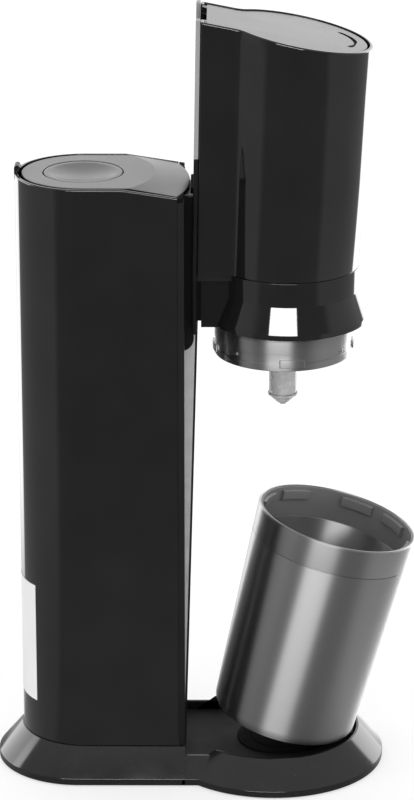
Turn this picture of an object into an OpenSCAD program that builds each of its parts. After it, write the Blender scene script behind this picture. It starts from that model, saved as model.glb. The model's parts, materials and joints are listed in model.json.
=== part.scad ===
// Sparkling water maker: a low base, a gas column, a head that slides down, and a tilting steel vessel.
// The front is +X, up is +Z, and the origin is on the floor at the middle of the whole object's length.

/* [Base] */
// Spread of the skirt round the bowl, from its rim to the floor
front_skirt = 16.7; // [13:0.1:20]
// Spread of the skirt behind the column, from the column to the floor
rear_skirt = 11.7; // [9:0.1:14]
// Height of the upright lip round the foot of the base
lip_h = 5.2; // [4:0.1:6]
// Height of the deck between the column and the bowl
deck_z = 12; // [11:0.1:12.6]
// Height of the rim that hugs the column
foot_rim_z = 25; // [21:0.5:30]
// Height of the rim beside the channel
channel_rim_z = 18.5; // [16:0.5:20]
// Height of the rim of the bowl
bowl_rim_z = 22; // [19:0.5:24]
// Gap between the foot of the vessel and the wall of its bowl
bowl_gap = 9.1; // [8.5:0.1:11.5]
// Width of the flat top of the rims
rim_w = 1.6; // [1:0.1:2.4]
// Wall of the base moulding
base_wall = 2.4; // [2:0.1:3]
// Thickness of the bottom plate
plate_t = 2; // [1.6:0.1:2.4]
// Gap between the floor and the lip, filled by the rubber feet
floor_gap = 0.8; // [0.5:0.1:1.2]
// Radius of a rubber foot
foot_r = 7; // [5:0.5:9]

/* [Column] */
// Radius of the round rear of the column
col_r = 45.5; // [43:0.1:47]
// Distance from the rear of the base to the rear of the column
col_inset = 17.5; // [15:0.5:19]
// Distance from the centre of the round rear to the front seam of the cover
col_depth = 62.5; // [58:0.5:64]
// Height of the flat top of the column
col_top_z = 420; // [400:1:440]
// Fall of the lid from its flat disc to its front edge
lid_fall = 5.5; // [4:0.1:7]
// Wall of the column cover
cover_wall = 2.2; // [1.8:0.1:2.6]
// Thickness of the lid at its thinnest
lid_t = 3; // [2.4:0.1:3.6]
// Width of the groove round the lid
lid_groove = 2.7; // [0.8:0.1:3.2]
// How far the middle of the lid's front edge bows out
lid_bow = 8; // [5:0.1:8.4]
// Radius of the curved crease where the lid starts to slope
lid_crease_r = 58; // [54:0.5:64]
// Length of the lid's slope in the middle, from the crease to the front edge
lid_slope_l = 22.4; // [20:0.1:24]
// Radius of the round release button in the lid
release_r = 26.5; // [22:0.5:30]
// Depth of the dish in the release button
release_dish = 1.8; // [1:0.1:2.4]
// Travel of the release button
release_travel = 3; // [2:0.1:3.6]

/* [Front of the column] */
// Depth of the black front frame ahead of the cover seam
frame_d = 4.4; // [4:0.1:5]
// Half width of the slot in the front frame
slot_hw = 22.5; // [22.1:0.1:24]
// Half width of the metal rail
rail_hw = 17; // [15:0.5:18]
// How far the rail stands ahead of the frame at its top
rail_top_out = 11.3; // [9:0.1:11.5]
// How far the rail stands ahead of the frame at its foot
rail_foot_out = 0.4; // [0.3:0.1:2]
// Wall of the saddle that rides on the rail
saddle_wall = 3.4; // [3:0.1:3.6]
// Gap between the saddle and the rail
saddle_gap = 0.3; // [0.2:0.05:0.5]

/* [Head] */
// Distance from the front disc's centre to the axis of ring, nozzle and vessel
axis_shift = 5.6; // [4:0.1:7]
// Length of the neck, from its back to the centre of the round part of the head
neck_l = 60.9; // [58:0.1:64]
// Distance from the axis to the centre of the round part of the head
head_shift = 3; // [2:0.1:4]
// Radius of the round part of the head at its bottom seam
head_r = 47.2; // [46:0.1:48]
// Half width of the neck of the head
neck_hw = 30.6; // [28:0.2:33]
// Radius of the hollow curve between neck and round part
blend_r = 9; // [6:0.5:14]
// Height of the straight part of the collar below the seam of the head shell
collar_h = 16.5; // [12:0.1:24]
// Height of the head shell at its rear
head_h = 171.4; // [165:0.1:185]
// Slope of the head's top towards the front, in degrees
head_slope = 11.3; // [9:0.1:13]
// Share by which the head is longer at its top than at its seam
head_flare_share = 1.056; // [1:0.002:1.08]
// Wall of the head shell
head_wall = 2.2; // [1.8:0.1:2.6]
// Thickness of the pale back plate of the head
back_t = 3; // [2.4:0.1:3.4]
// Travel of the head, from raised to locked down
head_travel = 143.2; // [138:0.1:143.7]
// Turn of the carbonation button, in degrees
press_a = 2.2; // [1:0.1:2.6]
// Recess of the carbonation button below the rim
button_recess = 0.7; // [0.4:0.1:1.2]
// Gap round the carbonation button
button_gap = 1.6; // [0.6:0.1:2]

/* [Collar and locking ring] */
// Radius of the foot of the flared collar
flare_r = 53.2; // [51:0.1:53.4]
// Height of the band at the foot of the collar
flare_band_h = 3.6; // [3:0.1:5]
// Height of the flared part of the collar
flare_h = 17.6; // [14:0.1:19]
// Outer radius of the steel locking ring
ring_r = 46; // [45.5:0.1:47.2]
// Wall of the steel locking ring
ring_wall = 2.6; // [2:0.1:3]
// Height of the ring below the collar
ring_h = 23.2; // [20:0.1:24]
// How far the ring enters the vessel
ring_entry = 15; // [13:0.1:15.2]
// How far the ring's lugs stand out
ring_lug_out = 1.3; // [0.8:0.1:1.4]
// Radius of the clear nozzle tube
nozzle_r = 9.25; // [8:0.25:10.5]
// Length of the nozzle tube below the ring
nozzle_l = 29.6; // [26:0.1:34]
// Length of the nozzle tip
tip_l = 8.4; // [6:0.2:10]

/* [Vessel] */
// Height of the vessel
vessel_h = 152.6; // [150:0.1:155]
// Outer radius of the vessel at its rim
vessel_top_r = 55.2; // [54.8:0.1:56]
// Outer radius of the vessel at its foot
vessel_foot_r = 49.4; // [48:0.1:49.8]
// Radius of the rounded bottom edge
vessel_edge_r = 9; // [7:0.1:9]
// Steel thickness of the vessel
steel_t = 0.9; // [0.7:0.05:1.1]
// Height of the steel band under the rim
band_h = 20.5; // [18:0.5:24]
// Depth of the grey collar inside the rim
liner_drop = 22; // [21:0.5:25]
// Lean of the vessel when it is tipped forward, in degrees
tilt_a = 13.9; // [10:0.1:14]
// Height of the bottom of the vessel above the deck when it stands upright
vessel_lift = 3.2; // [3:0.1:3.6]

/* [Gas cylinder] */
// Radius of the gas cylinder
cyl_r = 30; // [28:0.5:31]
// Distance from the top of the gas cylinder's valve to the top of the column
cyl_headroom = 54; // [50:0.5:60]
// Radius of the brass valve
valve_r = 11; // [9:0.5:12]

/* [Hidden] */

// Overrun of every cut past the face that it opens
cut = 1;
// Thickness of the slices that the skirts are drawn between
slice_t = 0.2;
// Play between pieces that touch without fastening
play = 0.2;
// Play round a turning pin
pin_play = 0.05;
// Gap round large faces that turn or slide past each other
turn_gap = 0.3;
// Smoothness of the large round faces
fine = 144;
// Smoothness of small round faces
small = 48;
// Smoothness of the faces inside a hull
hull_fn = 72;

// Gap round the barrel of the tilt hinge, and the hinge's size and place ahead of the vessel's axis
ear_clear = 0.4;
ear_r = 2.8;
hinge_reach = (vessel_edge_r + ear_r + ear_clear) / sqrt(2);
tilt_ahead = vessel_foot_r - vessel_edge_r + hinge_reach;
tilt_below = hinge_reach - vessel_edge_r;
band_groove = 0.5;

// Reach of the tipped rim ahead of the axis.
// The origin is at the middle of the length from the rear of the base to it.
rim_ahead = tilt_ahead + (vessel_top_r - band_groove / 2 - tilt_ahead) * cos(tilt_a)
    + (vessel_h - band_groove + tilt_below) * sin(tilt_a);
// Gap between the column and the back of the head
back_gap = 5;
axis_reach = col_inset + col_r + col_depth + frame_d + back_gap + back_t + neck_l - head_shift;

// Radii of the bowl, of the front disc of the base and of its rear end
bowl_r = vessel_foot_r + bowl_gap;
front_r = bowl_r + rim_w + front_skirt;
rear_r = col_r + rear_skirt;

// Places along the length
axis_x = (axis_reach - rim_ahead) / 2;
rear_end_x = axis_x - axis_reach;
rear_x = rear_end_x + rear_r;
col_x = rear_end_x + col_inset + col_r;
seam_x = col_x + col_depth;
frame_x = seam_x + frame_d;
back_x = frame_x + back_gap;
neck_x = back_x + back_t;
head_x = neck_x + neck_l;
front_x = axis_x - axis_shift;
base_l = front_x + front_r - rear_end_x;

// Base
// Half width of the channel between column and bowl
channel_hw = 45;
// Inset of the hollow under the deck, which leaves the sloping skirt its wall
skirt_spare = 0.5;
hollow_inset = base_wall + skirt_spare
    + (rear_r - channel_hw - rim_w) * (deck_z - base_wall - lip_h) / (channel_rim_z - lip_h);
plate_z = floor_gap;
ledge_z = floor_gap + plate_t;
foot_recess = plate_t / 2;
screw_r = 1.5;
screw_head_r = 3;
screw_head_h = 1.2;
boss_r = 4;
foot_places = [
    [rear_x - rear_r / 2, rear_r / 2], [rear_x - rear_r / 2, -rear_r / 2],
    [front_x + front_r * 2 / 5, front_r * 3 / 5], [front_x + front_r * 2 / 5, -front_r * 3 / 5],
    [front_x - front_r * 2 / 5, front_r * 3 / 5], [front_x - front_r * 2 / 5, -front_r * 3 / 5]
];
screw_places = [
    [rear_x, rear_r * 7 / 10], [rear_x, -rear_r * 7 / 10], [rear_x + rear_r, 0],
    [front_x + front_r * 7 / 10, 0], [front_x, front_r * 3 / 4], [front_x, -front_r * 3 / 4]
];
pad_r = 30;
pad_t = 1;

// Tilt hinge of the vessel: under and ahead of its rounded bottom edge
tilt_pin_r = 1.5;
ear_t = 3;
lug_hw = 6;
vessel_z = deck_z + vessel_lift;
edge_z = vessel_z + vessel_edge_r;
tilt_x = axis_x + tilt_ahead;
tilt_z = vessel_z - tilt_below;

// Vessel
rim_z = vessel_z + vessel_h;
taper = (vessel_top_r - vessel_foot_r) / vessel_h;
// Step that the band stands out from the shell
band_step = 0.7;
band_z = rim_z - band_h;
lug_out = 2.2;
lug_top = 2.6;
lug_high = 6.7;
lug_a = 25;
lug_gap_a = 26.5;
lug_turn_a = 6.6;
lug_pairs = 4;
liner_wall = 0.8;
// Height of the liner above the foot of the vessel, and its inset there
liner_lift = 6;
liner_inset = 3.4;
liner_z = vessel_z + liner_lift;
liner_foot_r = vessel_foot_r - liner_inset;
foot_disc_r = 38;
foot_disc_t = 2;

// Head
ring_z = rim_z - ring_entry + head_travel;
flare_z = ring_z + ring_h + play;
neck_z = flare_z + flare_band_h + flare_h;
shell_x = head_x + head_r;
seam_z = neck_z + collar_h;
head_top_z = seam_z + head_h;
// Point that the head grows away from towards its top
flare_reach = 48;
flare_x = back_x - flare_reach;
extrude_over = 8;
extrude_h = head_top_z - seam_z + extrude_over;
blend_dx = sqrt(pow(head_r + blend_r, 2) - pow(neck_hw + blend_r, 2));
arc_steps = 30;
blend_steps = 6;
arc_end_a = acos(-blend_dx / (head_r + blend_r));
blend_start_a = arc_end_a - 180;

// Outline of half the head, from its front round to its neck, each side inset by d
function head_half(d) = concat(
    [for (i = [0:arc_steps]) let (a = arc_end_a * i / arc_steps)
        [head_x + (head_r - d) * cos(a), (head_r - d) * sin(a)]],
    [for (i = [1:blend_steps]) let (a = blend_start_a + (-90 - blend_start_a) * i / blend_steps)
        [head_x - blend_dx + (blend_r + d) * cos(a), neck_hw + blend_r + (blend_r + d) * sin(a)]],
    [[neck_x + d, neck_hw - d]]
);
function flip(p) = [for (i = [len(p) - 1:-1:1]) [p[i][0], -p[i][1]]];
function head_outline(d) = concat(head_half(d), flip(head_half(d)));

// Unbroken tube wound into a spring
curl_rings = 8;
tube_sides = 6;
// Rings of the next curl that lie nearest a ring
near_ring = 6;
far_ring = 10;
function coil_centre(r, wr, turns, h, i) = let (n = turns * curl_rings)
    [r * cos(360 * i / curl_rings), r * sin(360 * i / curl_rings), wr + (h - 2 * wr) * i / n];
function coil_points(r, wr, turns, h) = [for (i = [0:turns * curl_rings]) for (j = [0:tube_sides - 1])
    let (a = 360 * i / curl_rings, b = 360 * j / tube_sides, c = coil_centre(r, wr, turns, h, i))
    [c[0] + wr * cos(b) * cos(a), c[1] + wr * cos(b) * sin(a), c[2] + wr * sin(b)]];
function coil_faces(turns) = let (n = turns * curl_rings, s = tube_sides) concat(
    [for (j = [1:s - 2]) [0, j, j + 1]],
    [for (j = [1:s - 2]) [n * s, n * s + j + 1, n * s + j]],
    [for (i = [0:n - 1]) for (j = [0:s - 1]) let (k = (j + 1) % s)
        [i * s + j, (i + 1) * s + j, (i + 1) * s + k]],
    [for (i = [0:n - 1]) for (j = [0:s - 1]) let (k = (j + 1) % s)
        [i * s + j, (i + 1) * s + k, i * s + k]]
);
function coil_gap(r, wr, turns, h) = min([
    for (i = [0:(turns - 1) * curl_rings]) for (k = [near_ring:far_ring]) if (i + k <= turns * curl_rings)
        norm(coil_centre(r, wr, turns, h, i + k) - coil_centre(r, wr, turns, h, i)) - 2 * wr]);
module coil(r, wr, turns, h) {
    echo(least_gap_of_spring = coil_gap(r, wr, turns, h));
    polyhedron(points = coil_points(r, wr, turns, h), faces = coil_faces(turns), convexity = 6);
}

// Round-ended slab outline: a half circle at x0 with straight sides up to x1
module stadium(r, x0, x1) {
    translate([x0, 0]) circle(r = r, $fn = fine);
    translate([x0, -r]) square([x1 - x0, 2 * r]);
}

// Outline of the base, each side inset by d
module base_outline(d) {
    stadium(rear_r - d, rear_x, front_x);
    translate([front_x, 0]) circle(r = front_r - d, $fn = fine);
}

// Straight tube
module tube(ro, ri, h, n = fine) {
    difference() {
        cylinder(r = ro, h = h, $fn = n);
        translate([0, 0, -cut]) cylinder(r = ri, h = h + 2 * cut, $fn = n);
    }
}

// Pin that lies across the object
module cross_pin(r, hw) {
    rotate([90, 0, 0]) cylinder(r = r, h = 2 * hw, center = true, $fn = small);
}

// Carries a vessel piece, drawn upright, to the tipped position
module tipped() {
    translate([tilt_x, 0, tilt_z]) rotate([0, tilt_a, 0]) translate([-tilt_x, 0, -tilt_z]) children();
}

// Space above the sloping top of the head, lowered by d
module above_head(d) {
    translate([neck_x, 0, head_top_z - d]) rotate([0, head_slope, 0])
        translate([-base_l / 2, -base_l / 2, 0]) cube([base_l * 2, base_l, base_l]);
}

// Head body with its growth towards the top, each side inset by d
module head_solid(d) {
    translate([flare_x, 0, seam_z])
        linear_extrude(height = extrude_h, scale = [head_flare_share, 1], slices = 1)
            translate([-flare_x, 0]) polygon(head_outline(d));
}

module base_shell() {
    color([0.16, 0.16, 0.165]) difference() {
        union() {
            translate([0, 0, floor_gap]) linear_extrude(height = lip_h - floor_gap) base_outline(0);
            hull() {
                translate([0, 0, lip_h - slice_t]) linear_extrude(height = slice_t)
                    stadium(rear_r, rear_x, frame_x);
                translate([0, 0, foot_rim_z - slice_t]) linear_extrude(height = slice_t)
                    stadium(col_r + play, col_x, frame_x);
            }
            translate([col_x, 0, 0]) rotate([90, 0, 90]) linear_extrude(height = front_x - col_x)
                polygon([[-rear_r, lip_h], [-channel_hw - rim_w, channel_rim_z],
                    [channel_hw + rim_w, channel_rim_z], [rear_r, lip_h]]);
            translate([front_x, 0, lip_h])
                cylinder(r1 = front_r, r2 = bowl_r + rim_w, h = bowl_rim_z - lip_h, $fn = fine);
        }
        base_hollow();
        base_well();
        for (p = screw_places) translate([p[0], p[1], 0])
            cylinder(r = screw_r, h = deck_z - base_wall, $fn = small);
    }
    color([0.16, 0.16, 0.165]) for (s = [-1, 1]) tilt_ear(s);
}

// Hollow under the deck, with a ledge for the bottom plate and bosses for its screws
module base_hollow() {
    linear_extrude(height = ledge_z) base_outline(base_wall);
    difference() {
        linear_extrude(height = deck_z - base_wall) base_outline(hollow_inset);
        for (p = screw_places) translate([p[0], p[1], ledge_z]) cylinder(r = boss_r, h = deck_z, $fn = small);
    }
}

// Space above the deck: the column's well, the channel and the bowl
module base_well() {
    translate([0, 0, deck_z]) linear_extrude(height = foot_rim_z)
        stadium(col_r - cover_wall - play, col_x, frame_x + cut);
    translate([frame_x, -channel_hw, deck_z]) cube([front_x - frame_x, 2 * channel_hw, foot_rim_z]);
    translate([front_x, 0, deck_z]) cylinder(r = bowl_r, h = foot_rim_z, $fn = fine);
}

// One of the two ears that hold the tilt pin
module tilt_ear(side) {
    translate([tilt_x, side * (lug_hw + play + ear_t / 2), 0]) difference() {
        union() {
            translate([0, 0, tilt_z]) cross_pin(ear_r, ear_t / 2);
            translate([-ear_r, -ear_t / 2, deck_z - play]) cube([2 * ear_r, ear_t, tilt_z - deck_z + play]);
        }
        translate([0, 0, tilt_z]) cross_pin(tilt_pin_r, ear_t);
    }
}

module base_plate() {
    color([0.2, 0.2, 0.2]) difference() {
        translate([0, 0, plate_z]) linear_extrude(height = plate_t) base_outline(base_wall + play);
        for (p = foot_places) translate([p[0], p[1], plate_z - cut])
            cylinder(r = foot_r + play, h = foot_recess + cut, $fn = small);
        for (p = screw_places) translate([p[0], p[1], 0]) {
            cylinder(r = screw_r + play, h = ledge_z + cut, $fn = small);
            cylinder(r = screw_head_r + play, h = plate_z + screw_head_h, $fn = small);
        }
    }
}

module rubber_feet() {
    color([0.1, 0.1, 0.1]) for (p = foot_places) translate([p[0], p[1], 0])
        cylinder(r = foot_r, h = plate_z + foot_recess, $fn = small);
}

module base_screws() {
    color([0.6, 0.6, 0.62]) for (p = screw_places) translate([p[0], p[1], plate_z]) {
        cylinder(r = screw_head_r, h = screw_head_h, $fn = small);
        cylinder(r = screw_r - pin_play, h = deck_z - base_wall - plate_z - play, $fn = small);
    }
}

module rest_pad() {
    color([0.08, 0.08, 0.08]) translate([axis_x, 0, deck_z]) difference() {
        cylinder(r = pad_r, h = pad_t, $fn = fine);
        for (i = [1:2]) translate([0, 0, pad_t / 2]) difference() {
            cylinder(r = pad_r * i / 3 + pad_t, h = pad_t, $fn = fine);
            translate([0, 0, -cut]) cylinder(r = pad_r * i / 3, h = pad_t + 2 * cut, $fn = fine);
        }
    }
}

module tilt_pin() {
    color([0.7, 0.7, 0.72]) translate([tilt_x, 0, tilt_z])
        cross_pin(tilt_pin_r - pin_play, lug_hw + play + ear_t);
}

// Column internals
web_t = 2.4;
web_gap = 2;
web_x = seam_x - web_t - web_gap;
spine_t = 3;
spine_x = web_x - spine_t;
spine_inset = 8.5;
spine_hw = col_r - spine_inset;
spine_gap = 12;
spine_top_z = col_top_z - lid_fall - lid_t - spine_gap;
seat_t = 2;
cyl_z = deck_z + seat_t;
cyl_top_z = col_top_z - cyl_headroom;
shoulder_h = 30;
neck_r = 13;
valve_h = 26;
body_top_z = cyl_top_z - valve_h - shoulder_h;
block_r = 21;
block_h = 18;
block_roof = 4;
block_z = cyl_top_z - block_h + block_roof;
washer_t = 1.2;
stem_r = 2;
stem_h = 8;
stem_travel = 1;
lever_t = 4;
lever_hw = 7;
lever_z = block_z + block_h + stem_h / 2;
actuator_x = col_x + block_r;
actuator_z = lever_z + lever_t / 2;
actuator_pin_r = 1.6;
actuator_ear_t = 3;
act_spring_r = 3.4;
cap_r = 3.4;
act_wire_r = 0.45;
act_turns = 2;

module column_spine() {
    color([0.25, 0.25, 0.26]) {
        difference() {
            translate([spine_x, -spine_hw, deck_z]) cube([spine_t, 2 * spine_hw, spine_top_z - deck_z]);
            for (p = frame_screw_places) translate([spine_x - cut, p[0], p[1]])
                rotate([0, 90, 0]) cylinder(r = screw_r, h = spine_t + 2 * cut, $fn = small);
        }
        difference() {
            union() {
                translate([col_x, 0, block_z + play])
                    cylinder(r = block_r + spine_t, h = block_h / 4, $fn = fine);
                translate([col_x, -block_r, block_z + play])
                    cube([spine_x - col_x + play, 2 * block_r, block_h / 4]);
            }
            translate([col_x, 0, block_z]) cylinder(r = block_r + play / 4, h = block_h, $fn = fine);
        }
        for (s = [-1, 1]) spine_bracket(s);
    }
}

// Side wall that stiffens the spine beside the gas cylinder
module spine_bracket(side) {
    translate([spine_x - spine_t * 3, side * (spine_hw - spine_t / 2) - spine_t / 2, deck_z])
        cube([spine_t * 3 + play, spine_t, spine_top_z - deck_z]);
}

frame_screw_share = [0.12, 0.5, 0.88];
frame_screw_places = [for (s = [-1, 1]) for (f = frame_screw_share)
    [s * (spine_hw - 3 * spine_t), deck_z + (spine_top_z - deck_z) * f]];
lid_z = col_top_z - lid_fall - lid_t;
frame_top_z = col_top_z - lid_fall - play;
well_hw = col_r - cover_wall - play;
cover_z = foot_rim_z + play;

module front_frame() {
    color([0.09, 0.09, 0.095]) difference() {
        union() {
            translate([web_x, -slot_hw - web_t, deck_z])
                cube([web_t, 2 * (slot_hw + web_t), rail_top_z - deck_z]);
            for (s = [0, 1]) mirror([0, s, 0]) translate([0, 0, deck_z])
                linear_extrude(height = frame_top_z - deck_z) difference() {
                    frame_profile();
                    frame_pocket();
                }
        }
        translate([web_x - cut, -col_r - cut, lid_z - play])
            cube([frame_x - web_x + 2 * cut, 2 * (col_r + cut), lid_t + cut]);
        for (s = [0, 1]) mirror([0, s, 0]) translate([web_x - cut, well_hw - play, deck_z - cut])
            cube([frame_x - web_x + 2 * cut, frame_d, cover_z - deck_z + cut]);
        for (p = frame_screw_places) translate([web_x - cut, p[0], p[1]])
            rotate([0, 90, 0]) cylinder(r = screw_r, h = web_t + cut, $fn = small);
    }
}

// One side of the frame in plan: web, slot edge, chamfered front corner
module frame_profile() {
    polygon([[web_x, slot_hw], [frame_x, slot_hw], [frame_x, col_r - frame_d / 2], [seam_x + play, col_r],
        [seam_x + play, well_hw], [web_x, well_hw]]);
}

// Hollow of one side of the frame, open towards the rear
module frame_pocket() {
    translate([web_x + web_t, slot_hw + web_t])
        square([frame_x - web_x - 2 * web_t, col_r - cover_wall - frame_d - slot_hw - web_t]);
}

rail_x = web_x + web_t;
rail_z = deck_z;
// Gap between the lid and the top of the rail
rail_gap = 2;
rail_top_z = lid_z - rail_gap;
strip_t = 1.5;

// Side view of the rail: its front edge leans back towards the foot
module rail_side(front) {
    polygon([[rail_x, rail_z], [frame_x + rail_foot_out + front, rail_z],
        [frame_x + rail_top_out + front, rail_top_z], [rail_x, rail_top_z]]);
}

module guide_rail() {
    color([0.72, 0.73, 0.74]) translate([0, rail_hw, 0]) rotate([90, 0, 0])
        linear_extrude(height = 2 * rail_hw) rail_side(-strip_t);
}

module rail_strip() {
    color([0.1, 0.1, 0.1]) translate([0, rail_hw - strip_t, 0]) rotate([90, 0, 0])
        linear_extrude(height = 2 * (rail_hw - strip_t)) difference() {
            rail_side(0);
            rail_side(-strip_t);
        }
}

module frame_screws() {
    color([0.6, 0.6, 0.62]) for (p = frame_screw_places) translate([spine_x - screw_head_h, p[0], p[1]])
        rotate([0, 90, 0]) {
            cylinder(r = screw_head_r, h = screw_head_h, $fn = small);
            cylinder(r = screw_r - pin_play, h = screw_head_h + spine_t + web_t, $fn = small);
        }
}

cyl_wall = 3;

module gas_cylinder() {
    waist_z = body_top_z - cyl_z;
    color([0.55, 0.56, 0.58]) translate([col_x, 0, cyl_z]) rotate_extrude($fn = fine) polygon([
        [0, play * 4], [cyl_r * 3 / 4, play * 4], [cyl_r * 4 / 5, 0], [cyl_r * 9 / 10, 0],
        [cyl_r, cyl_r / 6],
        [cyl_r, waist_z], [cyl_r * 9 / 10, waist_z + shoulder_h / 2],
        [cyl_r * 3 / 5, waist_z + shoulder_h * 9 / 10], [neck_r, waist_z + shoulder_h],
        [neck_r / 2, waist_z + shoulder_h], [neck_r / 2, waist_z + shoulder_h * 7 / 10],
        [cyl_r * 4 / 5, waist_z + shoulder_h * 2 / 5], [cyl_r - cyl_wall, waist_z],
        [cyl_r - cyl_wall, cyl_r / 4],
        [cyl_r * 4 / 5, 2 * cyl_wall], [0, 2 * cyl_wall]
    ]);
}

module cylinder_valve() {
    color([0.75, 0.6, 0.3]) translate([col_x, 0, body_top_z + shoulder_h]) difference() {
        union() {
            cylinder(r = neck_r, h = valve_h / 4, $fn = 6);
            cylinder(r = valve_r, h = valve_h - washer_t, $fn = small);
        }
        translate([0, 0, valve_h - stem_h - 2 * stem_travel])
            cylinder(r = stem_r + play, h = stem_h + 2 * stem_travel + cut, $fn = small);
    }
}

module valve_stem() {
    color([0.8, 0.8, 0.82]) translate([col_x, 0, cyl_top_z - stem_h])
        cylinder(r = stem_r, h = lever_z - cyl_top_z + stem_h - play / 2, $fn = small);
}

module cylinder_seat() {
    color([0.08, 0.08, 0.08]) translate([col_x, 0, deck_z]) tube(cyl_r, cyl_r * 3 / 5, cyl_z - deck_z);
}

module valve_block() {
    color([0.2, 0.2, 0.21]) translate([col_x, 0, block_z]) difference() {
        cylinder(r = block_r, h = block_h, $fn = fine);
        translate([0, 0, -cut])
            cylinder(r = valve_r + pin_play, h = cyl_top_z - block_z + cut, $fn = small);
        cylinder(r = stem_r + pin_play, h = block_h + cut, $fn = small);
        translate([0, 0, block_h / 2]) rotate([0, -90, 0])
            cylinder(r = cap_r, h = block_r + cut, $fn = small);
    }
    color([0.2, 0.2, 0.21]) for (s = [-1, 1]) actuator_ear(s);
}

// One of the two ears that carry the actuator lever
module actuator_ear(side) {
    ear_y = side * (lever_hw + play + actuator_ear_t / 2);
    translate([actuator_x - 2 * actuator_pin_r, ear_y, 0]) difference() {
        union() {
            translate([-2 * actuator_pin_r, -actuator_ear_t / 2, block_z + block_h - play])
                cube([4 * actuator_pin_r, actuator_ear_t, actuator_z - block_z - block_h + play]);
            translate([0, 0, actuator_z]) cross_pin(2 * actuator_pin_r, actuator_ear_t / 2);
        }
        translate([0, 0, actuator_z]) cross_pin(actuator_pin_r, actuator_ear_t);
    }
}

module valve_washer() {
    color([0.85, 0.3, 0.1]) translate([col_x, 0, cyl_top_z - washer_t + play / 4])
        tube(valve_r - play, stem_r + play, washer_t - play / 2, small);
}

module burst_cap() {
    color([0.75, 0.6, 0.3]) translate([col_x - block_r, 0, block_z + block_h / 2]) rotate([0, 90, 0])
        cylinder(r = cap_r - pin_play, h = block_r / 3, $fn = small);
}

module actuator_lever() {
    color([0.78, 0.78, 0.8]) difference() {
        union() {
            translate([col_x - block_r / 2, -lever_hw, lever_z])
                cube([actuator_x - 2 * actuator_pin_r - col_x + block_r / 2, 2 * lever_hw, lever_t]);
            translate([actuator_x - 2 * actuator_pin_r, 0, actuator_z])
                cross_pin(2 * actuator_pin_r, lever_hw);
        }
        translate([actuator_x - 2 * actuator_pin_r, 0, actuator_z])
            cross_pin(actuator_pin_r + pin_play, lever_hw + cut);
    }
}

module actuator_pin() {
    color([0.7, 0.7, 0.72]) translate([actuator_x - 2 * actuator_pin_r, 0, actuator_z])
        cross_pin(actuator_pin_r - pin_play / 2, lever_hw + play + actuator_ear_t);
}

module actuator_spring() {
    color([0.8, 0.8, 0.82]) translate([col_x - block_r / 3, 0, block_z + block_h])
        coil(act_spring_r, act_wire_r, act_turns, lever_z - block_z - block_h);
}

// Rear cover of the column
lid_slope_x = col_x + col_r * 3 / 5;

module column_cover() {
    color([0.06, 0.06, 0.065]) difference() {
        translate([0, 0, cover_z]) linear_extrude(height = col_top_z - cover_z) difference() {
            stadium(col_r, col_x, seam_x);
            stadium(col_r - cover_wall, col_x, seam_x + cut);
        }
        above_lid(0);
        translate([col_x - col_r, 0, col_top_z])
            cube([4 * cover_wall, 2 * tab_hw, 2 * tab_drop], center = true);
    }
}

// Space above the ramp of the lid, starting at the ramp's upper edge, lowered by d
module above_lid(d) {
    ramp_a = atan(lid_fall / (seam_x - lid_slope_x));
    translate([lid_slope_x, -col_r - cut, col_top_z - d]) rotate([0, ramp_a, 0])
        cube([col_depth * 2, 2 * (col_r + cut), col_r]);
}

lid_r = col_r - cover_wall - lid_groove;
lid_tip_x = seam_x + lid_bow;
lid_bow_r = (pow(lid_r, 2) + pow(lid_bow, 2)) / (2 * lid_bow);
button_lip_r = release_r + turn_gap;
// Cup under the release button, which holds its spring
cup_z = lid_z - 3 * lid_t - 2 * release_travel;
cup_floor_t = 2;

// Plan of the lid up to a curved front edge with its middle at tip_x
module lid_plan(tip_x, bow_r) {
    intersection() {
        stadium(lid_r, col_x, tip_x);
        translate([tip_x - bow_r, 0]) circle(r = bow_r, $fn = 2 * hull_fn);
    }
}

module top_lid() {
    color([0.55, 0.55, 0.56]) difference() {
        union() {
            translate([0, 0, lid_z]) hull() {
                linear_extrude(height = col_top_z - lid_z) lid_plan(lid_tip_x - lid_slope_l, lid_crease_r);
                linear_extrude(height = lid_t) lid_plan(lid_tip_x, lid_bow_r);
            }
            translate([col_x, 0, cup_z])
                cylinder(r = button_lip_r + cover_wall, h = lid_z - cup_z + cut, $fn = fine);
            for (s = [0, 1]) mirror([0, s, 0]) translate([col_x + release_r / 2, lid_r - cut, lid_z])
                cube([release_r, lid_groove + cut, lid_t / 2]);
        }
        translate([col_x, 0, cup_z + cup_floor_t])
            cylinder(r = button_lip_r, h = col_top_z - cup_z, $fn = fine);
        difference() {
            translate([0, 0, lid_z - cut]) linear_extrude(height = lid_t - play + cut)
                stadium(lid_r - cover_wall, col_x, seam_x - cover_wall);
            translate([col_x, 0, cup_z - cut])
                cylinder(r = button_lip_r + cover_wall, h = col_top_z - cup_z, $fn = fine);
        }
    }
}

label_a = 81;
label_h = 85;
label_z = 52;
label_t = 0.15;

module rating_label() {
    color([0.93, 0.93, 0.93]) translate([col_x, 0, label_z]) rotate([0, 0, 180 - label_a / 2])
        rotate_extrude(angle = label_a, $fn = fine)
            translate([col_r + play / 4, 0]) square([label_t, label_h]);
}

tab_hw = 5;
tab_t = 2;
tab_up = 5.2;
tab_drop = 4;

module rear_tab() {
    color([0.2, 0.2, 0.2]) translate([col_x - col_r + play / 2, 0, col_top_z - tab_drop + play / 2]) {
        translate([0, -tab_hw + play, 0]) cube([tab_t, 2 * (tab_hw - play), tab_drop + tab_up - tab_t]);
        translate([tab_t, 0, tab_drop + tab_up - tab_t]) cross_pin(tab_t, tab_hw - play);
    }
}

release_z = lid_z - lid_t / 2;
release_top_z = col_top_z - play;
// Share of the button that the dish takes up
dish_share = 0.96;
dish_r = (pow(release_r * dish_share, 2) + pow(release_dish, 2)) / (2 * release_dish);
kick_r = 5;

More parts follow.
